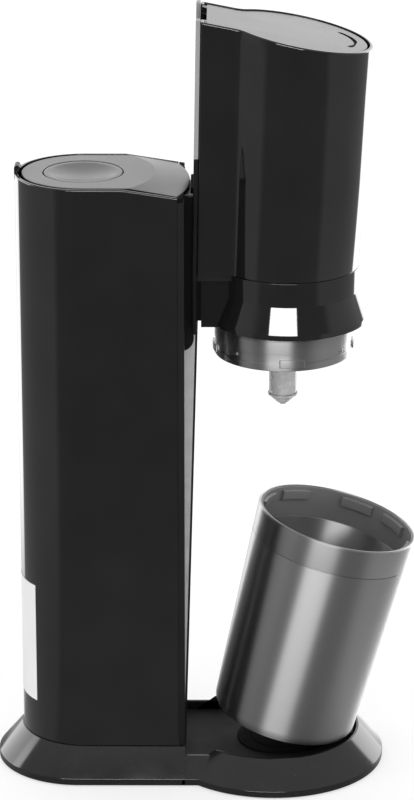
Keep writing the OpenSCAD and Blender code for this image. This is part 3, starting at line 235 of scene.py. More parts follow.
# Materials
class Nodes:
    """A short way to wire a node tree."""

    def __init__(self, tree):
        self.t = tree
        tree.nodes.clear()

    def add(self, kind, inputs=None, **props):
        n = self.t.nodes.new(kind)
        for k, v in props.items():
            setattr(n, k, v)
        for k, v in (inputs or {}).items():
            if isinstance(v, bpy.types.NodeSocket):
                self.t.links.new(v, n.inputs[k])
            else:
                n.inputs[k].default_value = v
        return n

    def ramp(self, fac, stops, ease="LINEAR"):
        n = self.add("ShaderNodeValToRGB", {"Fac": fac})
        r = n.color_ramp
        r.interpolation = ease
        while len(r.elements) < len(stops):
            r.elements.new(0.5)
        for e, (p, c) in zip(r.elements, stops):
            e.position = p
            e.color = (c, c, c, 1) if isinstance(c, (int, float)) else (*c, 1)
        return n.outputs["Color"]

    def math(self, op, a, b=0.5, c=0.5, clamp=False):
        return self.add("ShaderNodeMath", {0: a, 1: b, 2: c}, operation=op, use_clamp=clamp).outputs[0]

    def span(self, v, a, b, c=0.0, d=1.0, kind="LINEAR"):
        inputs = {"Value": v, "From Min": a, "From Max": b, "To Min": c, "To Max": d}
        return self.add("ShaderNodeMapRange", inputs, interpolation_type=kind).outputs["Result"]

    def noise(self, at, scale, detail=2.0, roughness=0.5):
        inputs = {"Vector": at, "Scale": scale, "Detail": detail, "Roughness": roughness}
        return self.add("ShaderNodeTexNoise", inputs).outputs["Fac"]

    def relief(self, height, strength, distance=0.0004):
        inputs = {"Strength": strength, "Distance": distance, "Height": height}
        return self.add("ShaderNodeBump", inputs).outputs["Normal"]


def new_material(name):
    m = bpy.data.materials.new(name)
    m.use_nodes = True
    return m, Nodes(m.node_tree)


def finish_material(n, **inputs):
    b = n.add("ShaderNodeBsdfPrincipled", {k.replace("_", " "): v for k, v in inputs.items()})
    n.add("ShaderNodeOutputMaterial", {"Surface": b.outputs["BSDF"]})
    return b


def moulded(name, low, high, rough, grain=900.0, bump=0.04, rough_scale=60.0, specular=0.5,
            speck=0.0, coat=0.0, cloud=25.0):
    """Moulded plastic, rubber or paint: a faint cloud, a fine grain and a roughness that varies a little."""
    m, n = new_material(name)
    at = n.add("ShaderNodeTexCoord").outputs["Object"]
    colour = n.ramp(n.noise(at, cloud, 3.0), [(0.3, low), (0.7, high)])
    if speck:
        dust = n.ramp(n.noise(at, 620.0, 2.0, 0.7), [(0.66, 0.0), (0.8, speck)])
        colour = add_colour(n, colour, dust)
    roughness = n.span(n.noise(at, rough_scale, 4.0), 0.3, 0.7, rough[0], rough[1])
    relief = n.relief(n.noise(at, grain, 2.0), bump)
    b = finish_material(n, Base_Color=colour, Roughness=roughness, Normal=relief)
    b.inputs["Specular IOR Level"].default_value = specular
    b.inputs["Coat Weight"].default_value = coat
    b.inputs["Coat Roughness"].default_value = 0.05
    return m


def add_colour(n, a, b):
    v = n.add("ShaderNodeVectorMath", {0: a, 1: b}, operation="ADD")
    return v.outputs["Vector"]


def brushed(name, low, high, rough, anis=0.75, axis_x=0.0):
    """Brushed metal: fine lines round an upright axis, with a highlight stretched across them."""
    m, n = new_material(name)
    at = n.add("ShaderNodeTexCoord").outputs["Object"]
    apart = n.add("ShaderNodeSeparateXYZ", {"Vector": at})
    x = n.math("SUBTRACT", apart.outputs["X"], axis_x * MM)
    turn = n.math("ARCTAN2", apart.outputs["Y"], x)
    along = n.math("MULTIPLY", turn, 1.6)
    across = n.math("MULTIPLY", apart.outputs["Z"], 2600.0)
    place = n.add("ShaderNodeCombineXYZ", {"X": along, "Y": across}).outputs[0]
    hair = n.noise(place, 1.0, 4.0)
    colour = n.ramp(hair, [(0.25, low), (0.75, high)])
    roughness = n.span(hair, 0.25, 0.75, rough[0], rough[1])
    relief = n.relief(hair, 0.02, 0.00003)
    tangent = n.add("ShaderNodeTangent", direction_type="RADIAL", axis="Z").outputs["Tangent"]
    b = finish_material(n, Base_Color=colour, Roughness=roughness, Normal=relief, Tangent=tangent)
    b.inputs["Metallic"].default_value = 1.0
    b.inputs["Anisotropic"].default_value = anis
    b.inputs["Anisotropic Rotation"].default_value = 0.25
    return m


gloss = moulded("gloss_black", 0.0085, 0.0115, (0.035, 0.06), 260.0, 0.012, rough_scale=30.0, coat=1.0)
satin_base = moulded("base_grain", 0.02, 0.028, (0.55, 0.68), 1500.0, 0.12, specular=0.25, speck=0.05)
base_gloss = moulded("base_gloss", 0.011, 0.016, (0.1, 0.16), grain=500.0, bump=0.01, speck=0.05, coat=0.6)
matt_black = moulded("matt_black", 0.005, 0.008, (0.7, 0.85), grain=1400.0, bump=0.08, specular=0.1)
satin_black = moulded("satin_black", 0.0085, 0.013, (0.26, 0.36), grain=1400.0, bump=0.08)
dark_plain = moulded("dark_plain", 0.016, 0.024, (0.4, 0.5), grain=1100.0, bump=0.08)
rubber = moulded("rubber_black", 0.005, 0.008, (0.7, 0.8), grain=1300.0, bump=0.1, specular=0.12)
lid_paint = moulded("lid_paint", 0.17, 0.19, (0.22, 0.27), grain=1700.0, bump=0.03)
plate_paint = moulded("plate_paint", 0.27, 0.28, (0.24, 0.28), grain=1700.0, bump=0.008)
strip_grey = moulded("strip_grey", 0.33, 0.38, (0.34, 0.42), grain=1300.0, bump=0.05)
paper = moulded("bare_label", 0.8, 0.86, (0.5, 0.6), grain=2200.0, bump=0.05)
pale = moulded("pale_plastic", 0.72, 0.8, (0.35, 0.45), grain=1200.0, bump=0.04)
collar_grey = moulded("collar_grey", 0.2, 0.23, (0.4, 0.48), grain=1300.0, bump=0.06)
hose = moulded("hose_white", 0.66, 0.74, (0.4, 0.5), grain=1000.0, bump=0.05)
rail_metal = moulded("rail_alloy", 0.56, 0.66, (0.45, 0.55), grain=1500.0, bump=0.05, cloud=90.0)
steel = brushed("steel_brushed", 0.6, 0.64, (0.42, 0.46), anis=0.97)
steel_ring = brushed("steel_ring", 0.62, 0.68, (0.4, 0.44), anis=0.97, axis_x=AXIS_X)
cylinder_metal = brushed("cylinder_metal", 0.5, 0.6, (0.3, 0.4), anis=0.5, axis_x=COL_X)
screw_steel = brushed("screw_steel", 0.5, 0.6, (0.22, 0.32), anis=0.0)
brass = brushed("brass_turned", (0.62, 0.44, 0.2), (0.72, 0.54, 0.27), (0.22, 0.32), anis=0.3)


def clear_plastic():
    """Frosted clear plastic of the nozzle, milky, with faint flow lines."""
    m, n = new_material("nozzle_clear")
    at = n.add("ShaderNodeTexCoord").outputs["Object"]
    flow = n.noise(at, 240.0, 3.0)
    colour = n.ramp(flow, [(0.3, 0.66), (0.7, 0.8)])
    roughness = n.span(flow, 0.3, 0.7, 0.2, 0.3)
    relief = n.relief(flow, 0.08)
    b = finish_material(n, Base_Color=colour, Roughness=roughness, Normal=relief)
    b.inputs["Transmission Weight"].default_value = 0.35
    b.inputs["Subsurface Weight"].default_value = 0.2
    b.inputs["Subsurface Radius"].default_value = (0.004, 0.004, 0.004)
    return m


nozzle_clear = clear_plastic()

CAD_LOOKS = {
    satin_black: "front_frame rail_strip head_saddle carriage_block vessel_foot rear_tab",
    dark_plain: "base_plate column_spine valve_block head_chassis nozzle_hub",
    rubber: "rubber_feet rest_pad cylinder_seat valve_washer collar_gasket neck_seal",
    screw_steel:
        "base_screws tilt_pin frame_screws valve_stem actuator_lever actuator_pin actuator_spring "
        "release_spring chassis_screws button_pin button_springs ring_screws",
    rail_metal: "guide_rail",
    cylinder_metal: "gas_cylinder",
    brass: "cylinder_valve burst_cap relief_valve",
    paper: "rating_label",
    pale: "saddle_pads",
    hose: "gas_tube",
    satin_base: "base_shell",
    gloss: "column_cover head_shell head_collar",
    lid_paint: "top_lid release_button",
    strip_grey: "head_back",
    plate_paint: "carbonation_button",
    nozzle_clear: "nozzle_tube nozzle_tip",
    steel_ring: "locking_ring",
    steel: "vessel_shell vessel_band vessel_liner",
    collar_grey: "vessel_collar",
}
for look, names in CAD_LOOKS.items():
    for name in names.split():
        node = frame["nodes"][name]
        node.data.materials.clear()
        node.data.materials.append(look)
SOFT_EDGES = {
    "front_frame": 0.5, "rail_strip": 0.3, "head_saddle": 0.7, "carriage_block": 0.7, "rear_tab": 0.3,
    "rubber_feet": 0.3}
for name, width in SOFT_EDGES.items():
    soften(frame["nodes"][name], width)

# Base
LIP, GROUND = 5.2, 0.8
SKIRT_R, BOWL_FOOT_R = 57.2, 76.8
SKIRT_TOP, CHANNEL_TOP, BOWL_TOP = 25.0, 18.5, 22.0
CHANNEL_HW, BOWL_R = 45.0, 58.5
WALL_FOOT = DECK_Z - 0.5


def skirt():
    """The slope behind and beside the column, whose foot and rim turn about centres of their own."""
    rim_r, well_r = COL_R + 0.9, COL_R - 2.4
    path = [("side", -1, 0.0), ("side", -1, 0.5)]
    path += [("end", a, 0) for a in range(-90, 91, 3)]
    path += [("side", 1, 0.5), ("side", 1, 0.0)]
    rings = []
    for kind, a, share in path:
        if kind == "side":
            foot_x = FRAME_X + (REAR_X - FRAME_X) * share
            rim_x = FRAME_X + (COL_X - FRAME_X) * share
            ux, uy = 0.0, a
        else:
            foot_x, rim_x = REAR_X, COL_X
            ux, uy = -math.cos(math.radians(a)), math.sin(math.radians(a))
        foot = Vector((foot_x + SKIRT_R * ux, SKIRT_R * uy))
        rim = Vector((rim_x + rim_r * ux, rim_r * uy))
        well = Vector((rim_x + well_r * ux, well_r * uy))
        deep = Vector((foot_x + (SKIRT_R - 6) * ux, (SKIRT_R - 6) * uy))
        reach = (well - foot).length
        corners = rounded([
            (0, GROUND, 0.4), (0, LIP, 1.0), ((rim - foot).length, SKIRT_TOP, 0.4), (reach, SKIRT_TOP, 0.3),
            (reach, WALL_FOOT, 0), ((deep - foot).length, GROUND, 0)])
        out = (well - foot).normalized()
        rings.append([(foot.x + out.x * d, foot.y + out.y * d, z) for d, z in corners])
    return grid(rings, around=False)


def channel_rim(s):
    """The rim beside the channel, on one side."""
    side = rounded([
        (SKIRT_R, GROUND, 0.4), (SKIRT_R, LIP, 1.0), (46.6, CHANNEL_TOP, 0.5), (CHANNEL_HW, CHANNEL_TOP, 0.4),
        (CHANNEL_HW, WALL_FOOT, 0), (51, GROUND, 0)])
    ends = (FRAME_X - 2, FRONT_X - 25)
    return grid([[(x, s * y, z) for y, z in side] for x in ends], around=False)


def bowl_rim(n=150):
    """The round front: slope, rim and bowl wall, open towards the channel."""
    profile = rounded([
        (BOWL_FOOT_R, GROUND, 0.4), (BOWL_FOOT_R, LIP, 1.0), (60.1, BOWL_TOP, 0.5), (BOWL_R, BOWL_TOP, 0.4),
        (BOWL_R, WALL_FOOT, 0), (70, GROUND, 0)])
    rings = []
    for i in range(n + 1):
        t = -1 + 2 * i / n
        ring = []
        for r, z in profile:
            end = pi - math.asin(CHANNEL_HW / r)
            ring.append((FRONT_X + r * math.cos(t * end), r * math.sin(t * end), z))
        rings.append(ring)
    return grid(rings, around=False)


def deck():
    """The deck under the column, in the channel and in the bowl."""
    half = [(FRONT_X + 60 * x, 60 * y) for x, y in map(direction, range(0, 132, 3))]
    half += [(FRAME_X, 45.4), (FRAME_X, 43.5)]
    half += [(COL_X + 43.5 * x, 43.5 * y) for x, y in map(direction, range(90, 181, 4))]
    outline = half + [(x, -y) for x, y in half[::-1] if y > 0.01]
    return prism(outline, DECK_Z - 2.0, DECK_Z)


def hinge_ear(s):
    """An ear of the tilt hinge, on one side."""
    r, foot = 2.8, DECK_Z - 0.2
    outline = [(TILT_X - r, foot), (TILT_X + r, foot)] + arc(TILT_X, TILT_Z, r, 0, 180, 16)
    return slab(outline, s * 6.2, s * 9.2)


base_slopes = [skirt(), channel_rim(-1), channel_rim(1), bowl_rim()]
piece("base_moulding", base_slopes, base_gloss, "stand", replaces=("base_shell",))
piece("base_deck", [deck(), hinge_ear(-1), hinge_ear(1)], satin_base, "stand")


# Column
def cover_top(x):
    """Height of the cover's top edge along its length."""
    a = COL_X + COL_R * 0.6
    return TOP_Z if x < a else TOP_Z - 5.5 * (x - a) / (SEAM_X - a)


def u_path(r, x_end, step=2.5):
    """Points and outward directions round the rear of the column, from one front edge to the other."""
    pts = []
    n = 14
    for i in range(n + 1):
        x = x_end + (COL_X - x_end) * i / n
        pts.append(((x, -r), (0.0, -1.0)))
    a = step
    while a < 180:
        t = math.radians(-90 - a)
        pts.append(((COL_X + r * math.cos(t), r * math.sin(t)), (math.cos(t), math.sin(t))))
        a += step
    for i in range(n + 1):
        x = COL_X + (x_end - COL_X) * i / n
        pts.append(((x, r), (0.0, 1.0)))
    return pts


def cover_parts():
    """The glossy cover round the column, with a notch for the tab at its rear edge."""
    rings = []
    z0, wall = 25.2, 2.2
    for (x, y), (ux, uy) in u_path(COL_R, SEAM_X):
        top = cover_top(x)
        if x < COL_X and abs(y) < 5.4:
            top -= 4.0
        section = rounded([(0, z0, 0.5), (0, top, 1.3), (-wall, top, 0.5), (-wall, z0, 0)])
        rings.append([(x + ux * d, y + uy * d, z) for d, z in section])
    return [grid(rings, around=False)]


piece("rear_cover_shell", cover_parts(), gloss, "rear_cover", replaces=("column_cover",))

LID_R, LID_BOW, CREASE_R, SLOPE_L, LID_FALL, HOLE_R = 40.6, 8.0, 58.0, 22.4, 5.5, 26.9
LID_TIP = SEAM_X + LID_BOW
BOW_R = (LID_R ** 2 + LID_BOW ** 2) / (2 * LID_BOW)
LID_EDGE = 0.4
HOLE_LIP = ((HOLE_R, TOP_Z - 0.35), (HOLE_R + 0.35, TOP_Z))


def front_curve(tip, radius, inset=0.0, n=28):
    """Curve across the lid through a tip on the middle line, from -Y to +Y."""
    half = math.degrees(math.asin((LID_R - inset) / (radius - inset)))
    return arc(tip - radius, 0, radius - inset, -half, half, n)


def lid_rear(inset):
    """The lid's outline round its rear, from the start of the slope on the +Y side to the -Y side."""
    r = LID_R - inset
    start = front_curve(LID_TIP - SLOPE_L, CREASE_R, inset)[0][0]
    side = [start + (COL_X - start) * i / 6 for i in range(6)]
    return [(x, r) for x in side] + arc(COL_X, 0, r, 90, 270, 72) + [(x, -r) for x in side[::-1]]


def lid_edge(inner, outer, z):
    """Three points over the lid's small rounded edge, from its top face to its side wall."""
    (x, y), (xo, yo) = inner, outer
    return [(x, y, z), ((x + 2 * xo) / 3, (y + 2 * yo) / 3, z - 0.12), (xo, yo, z - LID_EDGE)]


def lid_flat(crease):
    """The level part of the lid, round the hole for the button."""
    rows = []
    for x, y in lid_rear(LID_EDGE)[1:-1] + crease:
        a = math.atan2(y, x - COL_X)
        hole = [(COL_X + r * math.cos(a), r * math.sin(a), z) for r, z in HOLE_LIP]
        rows.append(hole + [(x, y, TOP_Z)])
    return grid(rows, closed=False)


def lid_slope(crease, front):
    """The part of the lid that falls towards the head."""
    rows = []
    for (x0, y0), (x1, y1) in zip(crease, front):
        rows.append([
            (x0 + (x1 - x0) * k / 6, y0 + (y1 - y0) * k / 6, TOP_Z - LID_FALL * k / 6) for k in range(7)])
    return grid(rows, around=False, closed=False)


def slope_places(crease_x, front_x):
    """Places along a side of the slope, as x and the height of the top."""
    for k in range(7):
        yield crease_x + (front_x - crease_x) * k / 6, TOP_Z - LID_FALL * k / 6


def lid_side(s, crease_x, front_x):
    """The rounded edge along one side of the slope."""
    rows = []
    for x, z in slope_places(crease_x, front_x):
        steps = ((LID_R - LID_EDGE, z), (LID_R - LID_EDGE / 3, z - 0.12), (LID_R, z - LID_EDGE))
        rows.append([(x, s * y, h) for y, h in steps])
    return grid(rows, around=False, closed=False)


def lid_parts():
    """The lid: its flat, its slope, its rounded edges and its underside."""
    crease = front_curve(LID_TIP - SLOPE_L, CREASE_R, LID_EDGE)
    front = front_curve(LID_TIP, BOW_R, LID_EDGE)
    outer = front_curve(LID_TIP, BOW_R)
    rear = [lid_edge(a, b, TOP_Z) for a, b in zip(lid_rear(LID_EDGE), lid_rear(0.0))]
    nose = [lid_edge(a, b, TOP_Z - LID_FALL) for a, b in zip(front, outer)]
    under = lid_rear(0.0) + outer
    parts = [lid_flat(crease), lid_slope(crease, front)]
    parts += [grid(rows, around=False, closed=False) for rows in (rear, nose)]
    parts.append(([(x, y, LID_Z) for x, y in under], [tuple(range(len(under)))]))
    parts += [lid_side(s, crease[0][0], front[0][0]) for s in (-1, 1)]
    return parts


def lid_rim():
    """Black side wall of the lid, from its rounded edge down: painted shade of the gap round the lid."""
    crease_x = front_curve(LID_TIP - SLOPE_L, CREASE_R, LID_EDGE)[0][0]
    front = front_curve(LID_TIP, BOW_R)
    walls = []
    for s in (-1, 1):
        places = slope_places(crease_x, front[0][0])
        walls.append([[(x, s * LID_R, z - LID_EDGE), (x, s * LID_R, LID_Z)] for x, z in places])
    walls.append([[(x, y, TOP_Z - LID_EDGE), (x, y, LID_Z)] for x, y in lid_rear(0.0)])
    walls.append([[(x, y, TOP_Z - LID_FALL - LID_EDGE), (x, y, LID_Z)] for x, y in front])
    return [grid(wall, around=False, closed=False) for wall in walls]


# Black side walls of the lid: painted shade of the gap between the lid and the cover
piece("lid_rim", lid_rim(), matt_black, "rear_cover")
piece("lid_shell", lid_parts(), lid_paint, "rear_cover", replaces=("top_lid",), sharp=9)
# Black cup under the release button, lining the hole's wall: painted shade in the hole and the gap round the
# button
cup = [
    (HOLE_R, TOP_Z - 0.35), (29.0, TOP_Z - 0.6), (29.0, 396.5), (0, 396.5), (0, 398.5),
    (HOLE_R - 0.1, 398.5)]
piece("release_cup", [revolve(cup, x=COL_X, n=128)], satin_black, "rear_cover")

dish = [(22.6 * i / 12, 419.7 - 3.4 * (1 - (i / 12) ** 2)) for i in range(13)] + [(23.1, 419.78)]
button_profile = dish + [
    (25.8, 419.8), (26.02, 419.72), (26.1, 419.5), (26.1, 410.2), (5, 410.2), (5, 407.2), (0, 407.2)]
piece("release_dish", [revolve(button_profile, x=COL_X, n=128)], lid_paint, "release",
      replaces=("release_button",), sharp=40)


def wedge(s):
    """Black top of the frame between the lid's curved front and the frame's front face, on one side."""
    centre = LID_TIP - BOW_R
    ys = [31.0 + (LID_R - 31.0) * i / 10 for i in range(11)]
    back = [(centre + math.sqrt((BOW_R + 0.45) ** 2 - y * y), y) for y in ys]
    out = [(x, s * y) for x, y in back]
    out += [(SEAM_X + 0.4, s * 45.1), (FRAME_X - 0.25, s * 43.0), (FRAME_X - 0.25, s * ys[0])]
    return prism(out, LID_Z - 0.3, TOP_Z - LID_FALL - 0.3)


piece("frame_ends", [wedge(s) for s in (-1, 1)], matt_black, "stand", bevel=0.25)
rail_end = rounded([
    (LID_TIP + 0.5, -16.4, 1.0), (FRAME_X + 11.1, -16.4, 1.5), (FRAME_X + 11.1, 16.4, 1.5),
    (LID_TIP + 0.5, 16.4, 1.0)])
piece("rail_cap", [prism(rail_end, 409.4, 413.8)], matt_black, "stand", bevel=0.4)


# Head
def grown(x, y, z):
    """Carries a point of the head's outline at its seam to a height."""
    s = 1 + GROW * (z - SEAM_Z) / EXTRUDE_H
    return (FLARE_X + (x - FLARE_X) * s, y, z)


def top_at(x):
    """Height of the head's sloping top."""
    return HEAD_TOP_Z - (x - NECK_X) * SLOPE


def top_z(x, drop=0.0):
    """Height at which a growing upright line of the outline meets the sloping top."""
    z = HEAD_TOP_Z
    for _ in range(6):
        z = top_at(grown(x, 0, z)[0]) - drop
    return z


BLEND_DX = math.sqrt((HEAD_R + BLEND_R) ** 2 - (NECK_HW + BLEND_R) ** 2)
ARC_END = math.degrees(math.acos(-BLEND_DX / (HEAD_R + BLEND_R)))


def head_half(d, corner=1.6, back_hw=None, steps=72):
    """Half of the head's outline from the middle of its front to its back, inset by d."""
    pts = arc(HEAD_X, 0, HEAD_R - d, 0, ARC_END, steps)
    pts += arc(HEAD_X - BLEND_DX, NECK_HW + BLEND_R, BLEND_R + d, ARC_END - 180, -90, 14)[1:]
    pts += [(NECK_X + 16, NECK_HW - d), (NECK_X + 6, NECK_HW - d)]
    r = max(corner - d, 0.05)
    k = max(d, corner - r)
    pts += arc(NECK_X + k + r, NECK_HW - k - r, r, 90, 180, 5)
    if back_hw is not None:
        pts += [(NECK_X + d, back_hw)]
    return pts


def mirrored(half):
    return [(x, -y) for x, y in half[::-1] if y > 1e-6]


def head_ring(sections, back_hw=None):
    """Rings round the head from a section of (inset, mode, height) points.

    A height counts up from the seam in the mode "seam", and down from the sloping top in the mode "top".
    """
    halves = {d: head_half(d, back_hw=back_hw) for d, _, _ in sections}
    out = []
    count = len(halves[sections[0][0]])
    order = [(i, 1) for i in range(count - 1, -1, -1)] + [(i, -1) for i in range(1, count)]
    for i, s in order:
        ring = []
        for d, mode, h in sections:
            x, y = halves[d][i]
            z = SEAM_Z + h if mode == "seam" else top_z(x, h)
            ring.append(grown(x, s * y, z))
        out.append(ring)
    return out


SLOT_HW = 22.3
SHELL_SECTION = [
    (2.2, "seam", 0.2), (0.5, "seam", 0.2), (0.15, "seam", 0.35), (0.0, "seam", 0.8), (0.0, "seam", 60.0),
    (0.0, "top", 30.0), (0.0, "top", 1.3), (0.12, "top", 0.75), (0.4, "top", 0.32), (0.85, "top", 0.08),
    (1.3, "top", 0.0), (1.9, "top", 0.0), (2.15, "top", 0.15), (2.2, "top", 0.4), (2.2, "top", 8.0)]
hull = grid(head_ring(SHELL_SECTION, back_hw=SLOT_HW), around=False)
piece("head_hull", [hull], gloss, "head", replaces=("head_shell",), sharp=35)


PLATE_IN = 3.8


def plate_outline(inset):
    """The plate's outline: the head's, inset, reaching back beside the rail."""
    pts = head_half(inset, corner=1.0)
    step = inset - PLATE_IN
    near, far = NECK_X + 0.8 + step, NECK_X + 3.8 + step
    pts += [(NECK_X + inset, 22.4 - step), (near, 22.0 - step), (near, 19.0 + step)]
    pts += [(far, 17.8 + step), (far, 0.0)]
    return pts + mirrored(pts)


def plate_ring(inset, drop):
    """The plate's outline at a depth under the sloping top."""
    return [grown(x, y, top_z(x, drop)) for x, y in plate_outline(inset)]


def plate_parts():
    """The top plate, with a small rounding at its edge."""
    edge = ((0.0, 5.5), (0.0, 1.25), (0.15, 0.9), (0.45, 0.72), (0.8, 0.7))
    return [grid([plate_ring(PLATE_IN + d, drop) for d, drop in edge], around=False)]


plate = piece("press_plate", plate_parts(), plate_paint, "top_button",
              replaces=("carbonation_button",), sharp=35)
# Black wall just outside the plate's edge: painted shade of the gap between the plate and the shell
plate_gap_shade_rings = [plate_ring(PLATE_IN - 0.05, 5.4), plate_ring(PLATE_IN - 0.05, 1.3)]
piece("plate_rim", [grid(plate_gap_shade_rings, around=False)], matt_black, "top_button")


GROOVE_X, GROOVE_R, GROOVE_W, GROOVE_D = AXIS_X + 19.4, 26.2, 1.7, 2.0


def groove_path(n=60):
    """Points along the finger groove, each with its outward direction and its share of the full width."""
    path = []
    for i in range(n + 1):
        a = -36 + 89 * i / n
        end = math.sqrt(max(0.12, 1 - max(0.0, 1 - min(i, n - i) / 3) ** 2))
        share = end * (1 - 0.6 * math.exp(-((a + 10) / 13) ** 2))
        ux, uy = math.cos(math.radians(a)), math.sin(math.radians(a))
        path.append((GROOVE_X + GROOVE_R * ux, GROOVE_R * uy, ux, uy, share))
    return path


def groove_cutter():
    """The shape of the groove, with a rounded floor, standing a little over the plate."""
    rings = []
    for x, y, ux, uy, fade in groove_path():
        w, top = GROOVE_W * fade, top_at(x) - 0.7
        ring = []
        for k in range(9):
            t = pi * k / 8
            side, depth = w * math.cos(t), GROOVE_D * fade * math.sin(t)
            ring.append((x + side * ux, y + side * uy, top - depth))
        ring += [(x - w * ux, y - w * uy, top + 4), (x + w * ux, y + w * uy, top + 4)]
        rings.append(ring)
    return [grid(rings, around=False)]


def groove_shade_sheet():
    """Black sheet along the groove's floor: painted shade in the recess."""
    rings = []
    for x, y, ux, uy, fade in groove_path():
        w, top = (GROOVE_W - 0.12) * fade, top_at(x) - 0.7
        deep_by = (GROOVE_D - 0.4) * fade
        turns = [pi * k / 8 for k in range(9)]
        arch = [(w * math.cos(t), -0.25 - deep_by * math.sin(t)) for t in turns]
        deep = [(0.8 * a, b - 0.5) for a, b in arch[::-1]]
        rings.append([(x + a * ux, y + a * uy, top + b) for a, b in arch + deep])
    return [grid(rings, around=False)]


cut(plate, mesh_object("groove", groove_cutter()))
# Black sheet in the finger groove: painted shade of the recess
piece("groove_lining", groove_shade_sheet(), matt_black, "top_button")


STRIP_Z = 436.5


def back_post(s, heights):
    """One post of the back plate, on one side of the slot, leaning with the shell."""
    rings = []
    for z, inset in heights:
        lean = max(0.0, (z - SEAM_Z)) * (NECK_X - FLARE_X) * GROW / EXTRUDE_H
        x0, x1 = BACK_X + inset, NECK_X - 0.05 - inset
        side = NECK_HW - inset
        out = rounded([(x0, SLOT_HW, 0.4), (x0, side, 0.9), (x1, side, 0.3), (x1, SLOT_HW, 0.2)])
        rings.append([(x + lean, s * y, z) for x, y in out])
    return grid(rings, around=False)


upper = [(STRIP_Z + 0.1, 0.4), (STRIP_Z + 0.5, 0.0), (HEAD_TOP_Z - 0.5, 0.0), (HEAD_TOP_Z, 0.5)]
lower = [(316.5, 0.5), (317.1, 0.0), (SEAM_Z, 0.0), (STRIP_Z - 0.5, 0.0), (STRIP_Z - 0.1, 0.4)]
strips = [back_post(s, upper) for s in (-1, 1)]
posts = [back_post(s, lower) for s in (-1, 1)]
piece("back_strips", strips, strip_grey, "head", replaces=("head_back",))
piece("back_posts", posts, satin_black, "head")

collar_profile = rounded([
    (40.4, FLARE_Z, 0.2), (53.2, FLARE_Z, 0.5), (53.2, FLARE_Z + 3.6, 0.9), (HEAD_R, NECK_Z, 1.2),
    (HEAD_R, SEAM_Z - 0.2, 0.5), (HEAD_R - 2.4, SEAM_Z - 0.2, 0), (HEAD_R - 2.4, FLARE_Z + 5.2, 0),
    (40.4, FLARE_Z + 5.2, 0)])
piece("flared_collar", [revolve(collar_profile, x=HEAD_X, n=192)], gloss, "head",
      replaces=("head_collar",), sharp=30)


# Nozzle and ring
def bend_block(r0, r1, z0, z1, a0, a1, edge=0.5, n=18):
    """A curved block with softened edges, for lugs: radii, heights and angles in degrees."""
    off = math.degrees(edge / r1)
    stations = [(a0, edge), (a0 + off * 0.3, edge * 0.35), (a0 + off, 0.0)]
    stations += [(a0 + (a1 - a0) * k / n, 0.0) for k in range(1, n)]
    stations += [(a1 - off, 0.0), (a1 - off * 0.3, edge * 0.35), (a1, edge)]
    rings = []
    for a, shrink in stations:
        ux, uy = direction(a)
        outer = r1 - shrink
        section = rounded([
            (r0, z0, 0.01), (outer, z0 + shrink, edge), (outer, z1 - shrink, edge), (r0, z1, 0.01)], n=4)
        rings.append([(r * ux, r * uy, z) for r, z in section])
    return grid(rings, around=False)


def turned(part, matrix):
    """A part turned by a matrix and then moved to the upright line through the ring's middle."""
    verts, faces = part
    middle = Vector((AXIS_X, 0, 0))
    return [tuple(matrix @ Vector(v) + middle) for v in verts], faces


ring_profile = rounded([
    (43.4, 0, 0.3), (46.0, 0, 0.6), (46.0, 5.0, 0.2), (45.5, 5.0, 0.12), (45.5, 11.5, 0.12),
    (46.0, 11.5, 0.2), (46.0, 20.3, 0.2), (45.4, 20.5, 0.1), (45.4, 21.0, 0.1), (46.0, 21.2, 0.3),
    (46.0, 23.2, 1.3), (40.0, 23.2, 0), (40.0, 28.4, 0), (41.4, 28.4, 0.2), (41.4, 30.0, 0.2),
    (38.0, 30.0, 0.2), (38.0, 20.6, 0), (43.4, 20.6, 0)])
ring_parts = [revolve(ring_profile, x=AXIS_X, n=192, z=RING_Z)]
LUG_MID, LUG_HALF = 6.6, 10.5
for i in range(4):
    start, end = i * 90 + LUG_MID - LUG_HALF, i * 90 + LUG_MID + LUG_HALF
    verts, faces = bend_block(44.7, 47.3, RING_Z + 2.4, RING_Z + 8.0, start, end, edge=0.6)
    ring_parts.append(([(x + AXIS_X, y, z) for x, y, z in verts], faces))
piece("lock_ring", ring_parts, steel_ring, "ring", replaces=("locking_ring",), sharp=30)


def ring_pin(angle):
    """A small domed pin on the ring's recessed band."""
    profile = rounded([(0, 0, 0), (1.3, 0, 0.2), (1.3, 0.7, 0.35), (0, 1.0, 0)], closed=False, n=4)
    rings = [[(r * x, r * y, h) for r, h in profile] for x, y in map(direction, range(0, 360, 15))]
    outward = Matrix.Translation((45.4, 0, RING_Z + 8.25)) @ Matrix.Rotation(pi / 2, 4, "Y")
    return turned(grid(rings, closed=False), Matrix.Rotation(math.radians(angle), 4, "Z") @ outward)


pins = [ring_pin(angle) for angle in (46.6, 146.6, 226.6, 326.6)]
piece("ring_pins", pins, screw_steel, "ring", replaces=("ring_screws",), sharp=40)

TIP_Z, TUBE_Z = 258.0, 266.4
tube_profile = rounded([(6.95, TUBE_Z, 0.1), (9.25, TUBE_Z, 0.3), (9.25, 309.9, 0), (6.95, 309.9, 0)])
piece("nozzle_sleeve", [revolve(tube_profile, x=AXIS_X, n=72)], nozzle_clear, "head",
      replaces=("nozzle_tube",))
tip_profile = rounded([
    (0.8, TIP_Z, 0.1), (1.9, TIP_Z, 0.3), (2.6, 259.1, 0.4), (8.4, 264.8, 0.8), (10.0, 265.0, 0.3),
    (10.0, TUBE_Z - 0.02, 0.3), (0.8, TUBE_Z - 0.02, 0)])
rib = slab([(2.2, 258.8), (3.0, 258.6), (8.9, 264.1), (8.9, 265.1), (2.2, 265.1)], -0.35, 0.35)
ribs = [turned(rib, Matrix.Rotation(math.radians(i * 60), 4, "Z")) for i in range(6)]
piece("nozzle_cone", [revolve(tip_profile, x=AXIS_X, n=72)] + ribs, nozzle_clear, "head",
      replaces=("nozzle_tip",))

